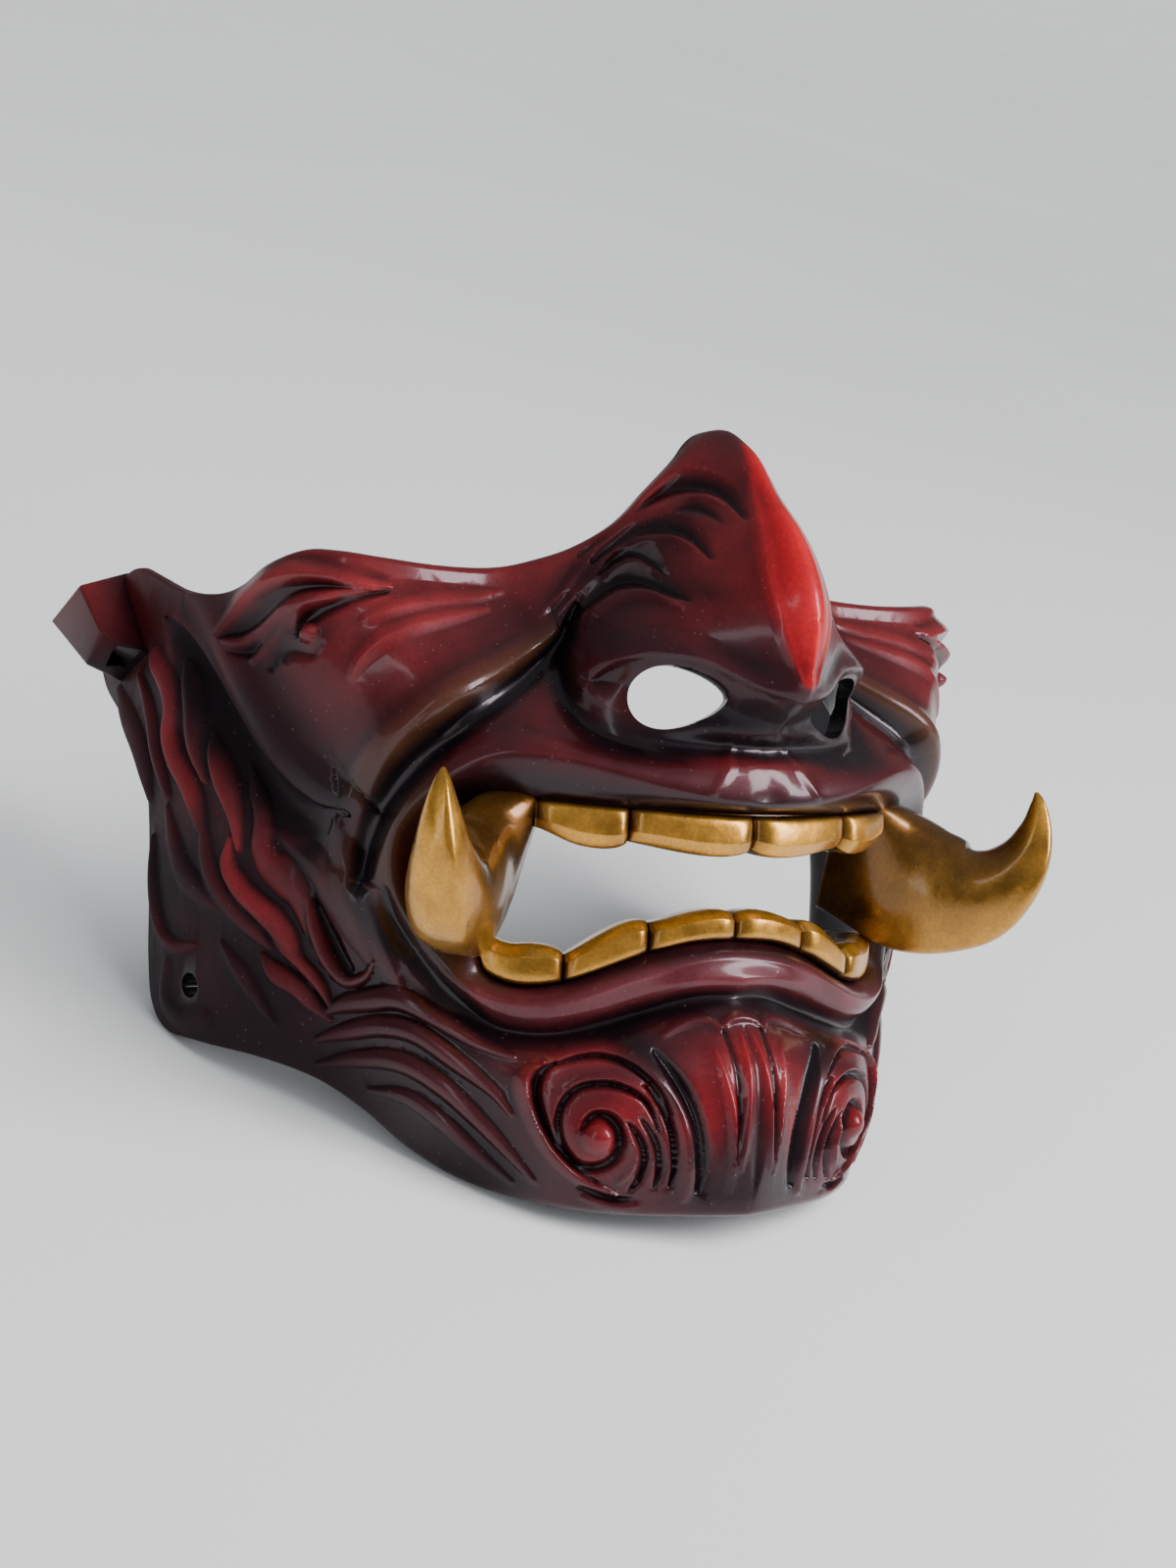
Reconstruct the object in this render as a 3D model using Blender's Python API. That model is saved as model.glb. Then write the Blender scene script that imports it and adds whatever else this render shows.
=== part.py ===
"""Oni half mask: a hollow cast face from the bridge of the nose to the chin.

Units are metres, +Z up, -Y is the front of the face and +X the wearer's left.
The mask is modelled upright round its own axis, then leaned back until it
stands on the chin and on the two rear corners of the jaw.

The outer surface is laid out on a chart. Across, a place is given in degrees
round the front from the middle of the face, and past 90 the sides run straight
back by the same length for each degree. Up, it is given in hundredths of the
face's height. Relief is the distance out from the plain front.
"""
import math

import bmesh
import bpy
import numpy as np
from mathutils import Matrix, Vector

MM = 0.001

# Main sizes
FACE_HEIGHT = 152 * MM
HALF_WIDTH = 86 * MM
FACE_DEPTH = 86 * MM
WALL = 3.8 * MM
LIP_WALL = 3.0 * MM
CREST_WALL = 5.0 * MM
FIT_GAP = 0.3 * MM

# Forms that stand out from the plain front
RELIEF = 10 * MM
NOSE_REACH = 36 * MM
LIP_WIDTH = 9 * MM
FOLD_WIDTH = 10 * MM
NOSE_SHARPNESS = 1.45
NOSE_RIDGE_ROUND = 0.063
NOSE_SIDE_FADE = 22.0

# Openings
NOSTRIL_WIDE = 19 * MM
NOSTRIL_TALL = 12.5 * MM
NOSTRIL_AT = (12.0, 64.4)
NOSTRIL_AIM = 20.0
NOSTRIL_SINK = 3.5 * MM
NOSTRIL_ROLL = (0.75, 1.35)
STRAP_HOLE = 5 * MM
STRAP_HOLE_AT = (81.0, 25.0)

# Teeth
TOOTH_DEPTH = 9 * MM
TOOTH_BULGE = 3.5 * MM
TOOTH_ROOT = 4 * MM
TOOTH_NOTCH = 1.2 * MM
TOOTH_END_BULGE = 0.4

# Tusks
TUSK_AZIMUTH = 38.0
TUSK_ROOT_IN = 15 * MM
TUSK_REACH = 45 * MM
TUSK_TALL = 25 * MM
TUSK_THICK = 17 * MM
TUSK_UP = 31.6

# Strap lugs
LUG_OUT = 11 * MM
LUG_SLOT_WIDE = 4.6 * MM
LUG_SLOT_LONG = 12 * MM
LUG_SLOT_WALL = 1.6 * MM
LUG_SLOT_AT = (0.29, 73.0)

# Fineness of the meshes
HALF_SPOKES = 60
LIP_RINGS = 3
FACE_RINGS = 18
INNER_LIP_RINGS = 2
INNER_FACE_RINGS = 9
RING_CROWDING = 0.35
LOOP_STEPS = 12
COURSE_STEPS = 6
TUSK_STEPS = 2
TUSK_SIDES = 14
CUTTER_SIDES = 24
SLOPE_STEP = 0.3 * MM
STEEPEST = 1.6

# Half of the rim that the teeth show through: azimuth, up, relief in shares
RIM = [
    (0.0, 50.3, 0.05), (8.7, 50.5, 0.05), (17.3, 50.9, 0.0), (25.3, 51.3, -0.1),
    (30.7, 51.4, -0.2), (36.0, 50.8, -0.35), (41.3, 48.9, -0.55), (44.7, 45.4, -0.7),
    (45.3, 40.8, -0.75), (44.3, 37.0, -0.75), (41.5, 34.8, -0.75), (38.3, 33.6, -0.75),
    (36.4, 31.8, -0.75), (35.2, 29.2, -0.75), (30.7, 27.8, -0.75), (25.3, 28.3, -0.7),
    (20.0, 29.9, -0.65), (13.3, 32.2, -0.62), (6.7, 33.7, -0.6), (0.0, 34.1, -0.6),
]

# Half of the lips' crest: azimuth, up, relief in shares
CREST = [
    (0.0, 52.0, 0.47), (6.0, 52.2, 0.47), (14.0, 53.6, 0.45), (20.7, 55.3, 0.42),
    (26.7, 56.6, 0.4), (32.7, 56.6, 0.38), (38.0, 55.0, 0.32), (42.7, 52.0, 0.22),
    (46.7, 47.4, 0.1), (48.0, 41.4, -0.1), (46.7, 36.2, -0.35), (43.3, 31.6, -0.45),
    (38.7, 28.0, -0.4), (32.7, 25.9, -0.35), (26.7, 25.9, -0.3), (20.7, 27.3, -0.28),
    (14.0, 29.6, -0.28), (6.7, 31.3, -0.3), (0.0, 31.8, -0.3),
]

# Half of the mask's outer edge: azimuth, up
EDGE = [
    (0.0, 100.0), (2.6, 99.5), (5.2, 97.9), (8.2, 95.2), (12.3, 91.6), (17.6, 87.0),
    (24.3, 83.8), (31.0, 81.9), (38.0, 80.6), (45.0, 80.2), (51.0, 80.6), (56.0, 81.2),
    (60.5, 81.3), (65.4, 79.6), (69.5, 77.2), (75.0, 76.1), (82.0, 76.4), (89.0, 77.6),
    (96.0, 79.4), (103.0, 80.9), (109.0, 79.6), (114.0, 76.0), (116.5, 70.5), (114.0, 65.0),
    (107.0, 60.5), (100.0, 55.5), (95.5, 49.5), (94.0, 42.0), (93.6, 35.0), (93.4, 28.0),
    (92.0, 22.0), (87.5, 18.6), (80.0, 17.7), (70.0, 16.6), (61.0, 14.4), (53.5, 10.8),
    (46.5, 6.4), (38.5, 3.2), (29.0, 1.3), (18.0, 0.2), (8.0, 0.0), (0.0, 0.0),
]

# How the spokes spread: share of the spokes, then of the rim, crest and edge
SPREAD = [
    (0.0, 0.0, 0.0, 0.0), (0.12, 0.17, 0.16, 0.10), (0.58, 0.52, 0.52, 0.585),
    (0.85, 0.80, 0.80, 0.82), (1.0, 1.0, 1.0, 1.0),
]

# Nose: up, relief of the hollow beside it, rise of its ridge, half width in degrees
NOSE = [
    (50.0, 0.0, 0.10, 20.0), (56.0, -0.2, 0.16, 20.0), (59.1, -0.45, 0.17, 21.0),
    (60.4, -0.6, 0.32, 22.0), (62.5, -0.85, 0.51, 24.0), (65.1, -1.1, 0.73, 26.0),
    (68.8, -1.4, 0.845, 26.5), (75.9, -1.8, 0.99, 26.0), (80.8, -2.0, 0.975, 24.0),
    (85.9, -2.1, 0.855, 21.0), (90.5, -2.05, 0.64, 17.0), (96.7, -2.2, 0.45, 13.0),
    (100.0, -2.4, 0.28, 11.0),
]

# Where the hollow beside the nose starts to fade: heights, then azimuths
NOSE_SIDE_START = ((60.0, 78.0), (20.0, 34.0))

# Rounded forms: azimuth, up, half width in degrees, half height, turn, relief
FORMS = [
    ("nostril wing", 18.0, 69.0, 8.0, 6.5, -10.0, 0.75),
    ("cheek", 58.0, 68.0, 19.0, 11.0, 30.0, 0.45),
    ("cheek bump", 61.0, 77.5, 9.0, 4.5, 0.0, 0.3),
    ("upper lip", 22.0, 57.5, 18.0, 5.0, 0.0, 0.25),
    ("side", 76.0, 40.0, 22.0, 22.0, 0.0, 0.1),
    ("jaw", 54.0, 6.0, 22.0, 34.0, 0.0, -1.0),
    ("under the chin", 42.0, 0.0, 26.0, 8.0, 0.0, -0.5),
    ("chin hollow", 0.0, 24.5, 24.0, 4.5, 0.0, -0.5),
    ("chin lobe", 0.0, 11.5, 8.0, 13.0, 0.0, 0.25),
    ("chin swirl", 20.0, 9.8, 9.5, 10.0, 0.0, 0.35),
]

# Folds and furrows: width and relief in shares, then their course
FOLDS = [
    ("smile furrow", 0.5, -0.35,
     [(22.6, 75.5), (28.1, 69.1), (35.6, 63.1), (42.4, 57.4), (49.0, 48.7), (52.0, 40.0)]),
    ("smile fold", 0.58, 0.4,
     [(26.2, 72.9), (35.8, 66.2), (44.4, 59.1), (52.3, 51.6)]),
    ("cheek border", 0.50, 0.25,
     [(84.1, 76.4), (75.7, 71.6), (70.3, 65.3), (62.5, 54.9), (55.5, 49.9), (52.3, 51.6)]),
    ("furrow behind the cheek", 0.50, -0.25,
     [(87.0, 73.0), (79.0, 67.0), (73.0, 59.5), (65.5, 50.5), (57.0, 45.5)]),
    ("furrow under the lip", 0.35, -0.3,
     [(0.0, 26.8), (7.2, 26.5), (15.4, 25.0), (25.0, 22.4), (31.6, 22.4), (38.5, 24.4),
      (46.0, 30.0)]),
]

# Edges of the teeth: azimuth, up of the biting edge, relief of the furrow there
UPPER_TEETH = [(0.0, 44.7, -0.10), (17.2, 45.2, -0.24), (29.3, 45.9, -0.34)]
LOWER_TEETH = [(0.0, 38.5, -0.60), (12.9, 37.5, -0.70), (25.1, 33.3, -0.75), (34.2, 33.0, -0.90)]

# A tooth's stations: share of its width, bulge of its face, notch at the bite
TOOTH_STATIONS = [(0.0, 0.0, 1.0), (0.12, 0.65, 0.25), (0.5, 1.0, 0.0), (0.88, 0.65, 0.25)]

# A tooth's profile: share of the depth inward, share of the bulge, share of the crown
TOOTH_PROFILE = [
    (0.0, 0.55, 0.0), (0.0, 0.95, 0.3), (0.0, 1.0, 0.7), (0.0, 0.35, 1.0), (0.6, 0.0, 0.93),
    (1.0, 0.0, 0.55), (1.0, 0.0, -0.45),
]

# Tusk: out, up, tall, thick, flare towards the teeth, in shares, and how square it is
TUSK = [
    (0.00, 0.72, 0.66, 0.70, 1.00, 0.5), (0.16, 0.64, 0.86, 0.74, 0.90, 0.5),
    (0.34, 0.60, 0.98, 0.90, 0.45, 0.3), (0.52, 0.56, 0.90, 1.00, 0.10, 0.1),
    (0.68, 0.56, 0.76, 0.94, 0.00, 0.0), (0.80, 0.66, 0.62, 0.80, 0.00, 0.0),
    (0.89, 0.86, 0.44, 0.60, 0.00, 0.0), (0.935, 1.10, 0.27, 0.40, 0.00, 0.0),
    (0.94, 1.30, 0.13, 0.20, 0.00, 0.0), (0.93, 1.40, 0.03, 0.05, 0.00, 0.0),
]
TUSK_FLARE_RISE = 0.22

# Lug corners: back from the side's start in shares of the half width, then up
LUG_OUTER = [(0.265, 78.0), (0.102, 71.3), (0.192, 66.8), (0.471, 73.4)]
LUG_INNER = [(0.322, 80.8), (0.124, 68.4), (0.312, 64.6), (0.45, 75.5)]


def smooth_table(table, places):
    """Read a table's columns at the given places of its first column, smoothly."""
    rows = np.array(table, dtype=float)
    keys = rows[:, 0]
    slopes = np.gradient(rows[:, 1:], keys, axis=0)
    places = np.clip(places, keys[0], keys[-1])
    cell = np.clip(np.searchsorted(keys, places) - 1, 0, len(keys) - 2)
    span = (keys[cell + 1] - keys[cell])[..., None]
    s = ((places - keys[cell])[..., None]) / span
    low = rows[cell, 1:]
    high = rows[cell + 1, 1:]
    rise_low = slopes[cell] * span
    rise_high = slopes[cell + 1] * span
    blend = s * s * (3 - 2 * s)
    ease_low = s * (1 - s) ** 2
    ease_high = -s * s * (1 - s)
    return low + (high - low) * blend + rise_low * ease_low + rise_high * ease_high


def smooth_path(points, steps, closed=False):
    """A smooth curve through the points, with a number of steps between each pair."""
    points = np.array(points, dtype=float)
    if closed:
        padded = np.vstack([points[-1:], points, points[:2]])
    else:
        padded = np.vstack([2 * points[:1] - points[1:2], points, 2 * points[-1:] - points[-2:-1]])
    s = np.linspace(0, 1, steps, endpoint=False)[:, None]
    out = []
    for k in range(1, len(padded) - 2):
        a, b, c, d = padded[k - 1:k + 3]
        out.append(0.5 * (2 * b + (c - a) * s + (2 * a - 5 * b + 4 * c - d) * s ** 2
                          + (3 * b - a - 3 * c + d) * s ** 3))
    if not closed:
        out.append(points[-1:])
    return np.vstack(out)


def half_loop(table):
    """A closed outline's half from top to bottom, smooth where it meets its mirror image."""
    half = np.array(table, dtype=float)
    other = half[-2:0:-1].copy()
    other[:, 0] *= -1
    loop = smooth_path(np.vstack([half, other]), LOOP_STEPS, closed=True)
    return loop[:(len(half) - 1) * LOOP_STEPS + 1]


def along(curve, shares):
    """Points of a curve at shares of its length on the chart."""
    flat = curve[:, :2] * (across_of(1.0), up_of(1.0))
    length = np.concatenate([[0], np.cumsum(np.linalg.norm(np.diff(flat, axis=0), axis=1))])
    return np.column_stack([np.interp(shares * length[-1], length, curve[:, k])
                            for k in range(curve.shape[1])])


def across_of(degrees):
    """Length round the front for an azimuth."""
    return np.radians(degrees) * HALF_WIDTH


def up_of(hundredths):
    return hundredths * FACE_HEIGHT / 100


def ease(s):
    s = np.clip(s, 0, 1)
    return s * s * (3 - 2 * s)


def place(azimuth, up, relief):
    """The point in space for a place on the chart and its relief."""
    turn = np.radians(np.clip(azimuth, -90, 90))
    past = across_of(np.abs(azimuth) - np.abs(np.clip(azimuth, -90, 90)))
    x = (HALF_WIDTH + relief) * np.sin(turn)
    y = -(FACE_DEPTH + relief) * np.cos(turn) + past
    return np.stack([x, y, up_of(up) + 0 * x], axis=-1)


def nose(azimuth, up):
    side, ridge, width = np.moveaxis(smooth_table(NOSE, up), -1, 0)
    out = np.abs(azimuth) / width
    sharp = np.hypot(out, NOSE_RIDGE_ROUND) - NOSE_RIDGE_ROUND
    flank = np.clip(1 - sharp, 0, 1) ** NOSE_SHARPNESS
    near = np.interp(up, *NOSE_SIDE_START)
    fade = 1 - ease((np.abs(azimuth) - near) / NOSE_SIDE_FADE)
    return RELIEF * side * fade + NOSE_REACH * ridge * flank


def forms(azimuth, up):
    total = np.zeros_like(azimuth)
    for name, at, level, wide, tall, turn, rise in FORMS:
        across = np.radians(np.abs(azimuth) - at) * HALF_WIDTH
        rising = up_of(up - level)
        angle = math.radians(turn)
        major = (across * math.cos(angle) + rising * math.sin(angle)) / across_of(wide)
        minor = (rising * math.cos(angle) - across * math.sin(angle)) / up_of(tall)
        total += RELIEF * rise * np.exp(-(major ** 2 + minor ** 2))
    return total


def fold(azimuth, up, course, wide):
    """How strongly a place lies on a fold's course, from 0 to 1, thinner at its ends."""
    line = smooth_path(course, COURSE_STEPS)
    flat = line * (across_of(1.0), up_of(1.0))
    spot = np.stack([across_of(np.abs(azimuth)), up_of(up)], axis=-1)[..., None, :]
    start, run = flat[:-1], np.diff(flat, axis=0)
    share = np.clip(((spot - start) * run).sum(-1) / (run ** 2).sum(-1), 0, 1)
    away = np.linalg.norm(spot - start - share[..., None] * run, axis=-1)
    nearest = away.argmin(-1)
    distance = np.take_along_axis(away, nearest[..., None], -1)[..., 0]
    part = np.take_along_axis(share, nearest[..., None], -1)[..., 0]
    ends = np.sin(np.pi * (nearest + part) / len(run)) ** 0.5
    return ends * np.exp(-(distance / (wide * FOLD_WIDTH)) ** 2)


def nostril_share(azimuth, up):
    """Distance from the nostril's middle, with 1 at its edge."""
    across = across_of(np.abs(azimuth) - NOSTRIL_AT[0]) / (NOSTRIL_WIDE / 2)
    rising = up_of(up - NOSTRIL_AT[1]) / (NOSTRIL_TALL / 2)
    return np.hypot(across, rising)


def face_relief(azimuth, up, fine):
    """Relief outside the lips; fine adds the folds and the nostrils' sunk rims."""
    total = nose(azimuth, up) + forms(azimuth, up)
    if fine:
        for name, wide, rise, course in FOLDS:
            total += RELIEF * rise * fold(azimuth, up, course, wide)
        inside, outside = NOSTRIL_ROLL
        roll = (nostril_share(azimuth, up) - inside) / (outside - inside)
        total -= NOSTRIL_SINK * (1 - ease(roll))
    return total


def slope_factor(azimuth, up):
    """How much farther in the inner surface lies where the face is steep."""
    turn = SLOPE_STEP / across_of(1.0)
    climb = SLOPE_STEP / up_of(1.0)
    across = face_relief(azimuth + turn, up, False) - face_relief(azimuth - turn, up, False)
    rising = face_relief(azimuth, up + climb, False) - face_relief(azimuth, up - climb, False)
    steep = np.hypot(across, rising) / (2 * SLOPE_STEP)
    return np.sqrt(1 + np.minimum(steep, STEEPEST) ** 2)


def spokes():
    """Rim, crest and edge points for each spoke of the mesh's wearer's-left half."""
    share = np.linspace(0, 1, HALF_SPOKES + 1)
    spread = smooth_table(SPREAD, share)
    return [along(half_loop(table), spread[:, k])
            for k, table in enumerate((RIM, CREST, EDGE))]


def sheet(lip_rings, face_rings, inner):
    """Points of the outer or the inner surface, ring by ring from the rim to the edge."""
    rim, crest, edge = spokes()
    crest_relief = RELIEF * crest[:, 2]
    rim_relief = RELIEF * rim[:, 2]
    lift = crest_relief - face_relief(crest[:, 0], crest[:, 1], not inner)
    rings = []
    for k in range(lip_rings):
        s = k / lip_rings
        spot = rim[:, :2] + (crest[:, :2] - rim[:, :2]) * s
        rolled = rim_relief + (crest_relief - rim_relief) * math.sin(s * math.pi / 2)
        if inner:
            behind = crest_relief - CREST_WALL
            rolled = rim_relief - LIP_WALL + (behind - rim_relief + LIP_WALL) * ease(s)
        rings.append(place(spot[:, 0], spot[:, 1], rolled))
    for k in range(face_rings + 1):
        s = k / face_rings
        s = s + RING_CROWDING * s * (s - 1)
        spot = crest[:, :2] + (edge - crest[:, :2]) * s
        away = np.linalg.norm((spot - crest[:, :2]) * (across_of(1.0), up_of(1.0)), axis=1)
        relief = face_relief(spot[:, 0], spot[:, 1], not inner)
        relief = relief + lift * (1 - ease(away / LIP_WIDTH))
        if inner:
            thick = WALL * slope_factor(spot[:, 0], spot[:, 1])
            thick = thick + (CREST_WALL - thick) * (1 - ease(away / LIP_WIDTH))
            relief = relief - thick
        rings.append(place(spot[:, 0], spot[:, 1], relief))
    return rings


def full_ring(half):
    """A ring all the way round, from the half of it on the wearer's left."""
    mirrored = half[-2:0:-1] * (-1, 1, 1)
    return np.vstack([half, mirrored])


def link(ring, following):
    """Faces between two rings of vertices with equal counts."""
    count = len(ring)
    return [(ring[k], ring[(k + 1) % count], following[(k + 1) % count], following[k])
            for k in range(count)]


def shell_mesh():
    """The hollow face: its outer and inner surfaces joined at the rim and the edge."""
    outer = [full_ring(ring) for ring in sheet(LIP_RINGS, FACE_RINGS, False)]
    inner = [full_ring(ring) for ring in sheet(INNER_LIP_RINGS, INNER_FACE_RINGS, True)]
    rings = outer + inner[::-1]
    count = len(rings[0])
    verts = np.vstack(rings)
    faces = []
    for k in range(len(rings)):
        ring = [k * count + j for j in range(count)]
        following = [(k + 1) % len(rings) * count + j for j in range(count)]
        band = link(ring, following)
        left = [face[1:] + face[:1] for face in band[:HALF_SPOKES]]
        faces += left + band[HALF_SPOKES:]
    return verts, faces


def new_object(name, verts, faces, material):
    mesh = bpy.data.meshes.new(name)
    mesh.from_pydata([tuple(v) for v in verts], [], faces)
    body = bmesh.new()
    body.from_mesh(mesh)
    bmesh.ops.recalc_face_normals(body, faces=body.faces)
    body.to_mesh(mesh)
    body.free()
    mesh.materials.append(material)
    mesh.shade_smooth()
    mesh.set_sharp_from_angle(angle=math.radians(35))
    item = bpy.data.objects.new(name, mesh)
    bpy.context.scene.collection.objects.link(item)
    return item


def material(name, colour, roughness, metallic):
    made = bpy.data.materials.new(name)
    made.use_nodes = True
    shader = made.node_tree.nodes["Principled BSDF"]
    shader.inputs["Base Color"].default_value = (*colour, 1.0)
    shader.inputs["Roughness"].default_value = roughness
    shader.inputs["Metallic"].default_value = metallic
    return made


def rim_at(azimuth, upper):
    """The rim's height and relief at an azimuth, on its upper or its lower side."""
    rim = half_loop(RIM)
    corner = rim[:, 0].argmax()
    side = rim[:corner] if upper else rim[:corner:-1]
    return (np.interp(azimuth, side[:, 0], up_of(side[:, 1])),
            RELIEF * np.interp(azimuth, side[:, 0], side[:, 2]))


def tooth_section(azimuth, bite, furrow, bulge, upper):
    """One section of a tooth row: the crown below its lip and the root behind it."""
    gum, rim_relief = rim_at(abs(azimuth), upper)
    away = -1 if upper else 1
    gum += away * FIT_GAP
    crown = abs(bite - gum)
    section = []
    for inward, swell, low in TOOTH_PROFILE:
        relief = furrow + swell * bulge * TOOTH_BULGE - inward * TOOTH_DEPTH
        section.append((relief, gum + away * low * crown))
    behind = rim_relief - LIP_WALL - FIT_GAP
    section.append((behind, gum - away * TOOTH_ROOT))
    section.append((behind, gum))
    return [tuple(place(np.array(azimuth), np.array(level / FACE_HEIGHT * 100), relief))
            for relief, level in section]


def tooth_row(table, upper):
    """A row of teeth in one bar, its sections from the wearer's left to the right."""
    sections = []
    for one, two in zip(table, table[1:]):
        for share, bulge, notch in TOOTH_STATIONS:
            azimuth, bite, relief = [a + (b - a) * share for a, b in zip(one, two)]
            bite = up_of(bite) + (1 if upper else -1) * notch * TOOTH_NOTCH
            sections.append((azimuth, bite, RELIEF * relief, bulge))
    azimuth, bite, relief = table[-1]
    sections.append((azimuth, up_of(bite), RELIEF * relief, TOOTH_END_BULGE))
    mirrored = [(-row[0], *row[1:]) for row in sections[:0:-1]]
    sections = mirrored + sections
    loops = [tooth_section(*row, upper) for row in sections]
    return loft(loops)


def loft(loops):
    """A closed solid through loops with equal counts of points."""
    count = len(loops[0])
    verts = [spot for loop in loops for spot in loop]
    faces = []
    for k in range(len(loops) - 1):
        ring = [k * count + j for j in range(count)]
        following = [(k + 1) * count + j for j in range(count)]
        faces += link(ring, following)
    faces.append(tuple(range(count)))
    faces.append(tuple(range((len(loops) - 1) * count, len(loops) * count)))
    return verts, faces


def squared(share, square):
    """A circle's sine or cosine, pushed towards a square's by a share."""
    return math.copysign(abs(share) ** (1 - square), share)


def tusk(side):
    """A tusk that leaves the corner of the mouth and curls up, on one side of the face."""
    azimuth = math.radians(TUSK_AZIMUTH)
    ahead = Vector((math.sin(azimuth), -math.cos(azimuth), 0))
    across = Vector((math.cos(azimuth), math.sin(azimuth), 0))
    rows = smooth_path(TUSK, TUSK_STEPS)
    root = Vector(place(np.array(TUSK_AZIMUTH), np.array(TUSK_UP), -TUSK_ROOT_IN))
    spine = [root + ahead * (row[0] * TUSK_REACH) + Vector((0, 0, row[1] * TUSK_TALL))
             for row in rows]
    loops = []
    for k, row in enumerate(rows):
        run = spine[min(k + 1, len(spine) - 1)] - spine[max(k - 1, 0)]
        rise = run.cross(across).normalized()
        tall, thick, flare = row[2] * TUSK_TALL / 2, row[3] * TUSK_THICK / 2, row[4]
        loop = []
        for j in range(TUSK_SIDES):
            turn = 2 * math.pi * (j + 0.5) / TUSK_SIDES
            sideways = squared(math.cos(turn), row[5]) * thick
            climb = squared(math.sin(turn), row[5])
            if sideways < 0:
                sideways *= 1 + flare * (0.5 + 0.5 * climb)
                climb *= 1 + flare * TUSK_FLARE_RISE * (climb > 0)
            spot = spine[k] + across * sideways + rise * (climb * tall)
            loop.append((side * spot.x, spot.y, spot.z))
        loops.append(loop)
    return loft(loops)


def lug(side):
    """An angular block at the ear that the strap is threaded through."""
    verts = []
    for out, corners in ((LUG_OUT, LUG_OUTER), (-WALL / 2, LUG_INNER)):
        for back, up in corners:
            verts.append((side * (HALF_WIDTH + out), back * HALF_WIDTH, up_of(up)))
    faces = link([0, 1, 2, 3], [4, 5, 6, 7])
    faces += [(0, 1, 2, 3), (4, 5, 6, 7)]
    return verts, faces


def cylinder(wide, tall, length, middle, aim):
    """A cutter with an oval section, along the horizontal direction of an azimuth."""
    aim = math.radians(aim)
    ahead = Vector((math.sin(aim), -math.cos(aim), 0))
    across = Vector((math.cos(aim), math.sin(aim), 0))
    loops = []
    for end in (-0.5, 0.5):
        loops.append([tuple(Vector(middle) + ahead * (end * length)
                            + across * (math.cos(2 * math.pi * j / CUTTER_SIDES) * wide / 2)
                            + Vector((0, 0, math.sin(2 * math.pi * j / CUTTER_SIDES) * tall / 2)))
                      for j in range(CUTTER_SIDES)])
    return loft(loops)


def slot(side, lean):
    """A cutter for the strap's slot, upright when the mask rests."""
    near = HALF_WIDTH + LUG_SLOT_WALL
    back_share, level = LUG_SLOT_AT
    ups = [up for _, up in LUG_INNER]
    length = 2 * up_of(max(ups) - min(ups))
    verts = []
    for end in (-0.5, 0.5):
        for out, back in ((0, -0.5), (1, -0.5), (1, 0.5), (0, 0.5)):
            spot = Vector((near + out * LUG_SLOT_WIDE, back * LUG_SLOT_LONG, end * length))
            spot = Matrix.Rotation(lean, 3, "X") @ spot
            spot += Vector((0, back_share * HALF_WIDTH, up_of(level)))
            verts.append((side * spot.x, spot.y, spot.z))
    faces = link([0, 1, 2, 3], [4, 5, 6, 7])
    faces += [(0, 1, 2, 3), (4, 5, 6, 7)]
    return verts, faces


def side_cutters(side, lean):
    """The shapes that one side's nostril, strap hole and strap slot are cut with."""
    middle = place(np.array(side * NOSTRIL_AT[0]), np.array(NOSTRIL_AT[1]), 0)
    hole = place(np.array(side * STRAP_HOLE_AT[0]), np.array(STRAP_HOLE_AT[1]), 0)
    return {
        "nostril": cylinder(NOSTRIL_WIDE, NOSTRIL_TALL, FACE_DEPTH, middle, side * NOSTRIL_AIM),
        "strap_hole": cylinder(STRAP_HOLE, STRAP_HOLE, FACE_DEPTH / 2, hole,
                               side * STRAP_HOLE_AT[0]),
        "strap_slot": slot(side, lean),
    }


def resting_lean(points):
    """The lean at which the chin and the rear corners of the jaw reach the floor together."""
    front = points[points[:, 1] < -FACE_DEPTH / 2]
    rear = points[points[:, 1] > -FACE_DEPTH / 4]
    low, high = math.radians(2), math.radians(45)
    for _ in range(50):
        lean = (low + high) / 2
        floors = [(group[:, 2] * math.cos(lean) - group[:, 1] * math.sin(lean)).min()
                  for group in (front, rear)]
        if floors[0] < floors[1]:
            low = lean
        else:
            high = lean
    return lean


def join_by(target, tool, operation):
    """Add a Boolean modifier that unites or cuts the target with a hidden tool."""
    change = target.modifiers.new(tool.name, "BOOLEAN")
    change.operation = operation
    change.solver = "EXACT"
    change.object = tool
    tool.hide_render = True
    tool.display_type = "WIRE"


def clear_scene():
    for item in list(bpy.data.objects):
        bpy.data.objects.remove(item, do_unlink=True)


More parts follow.
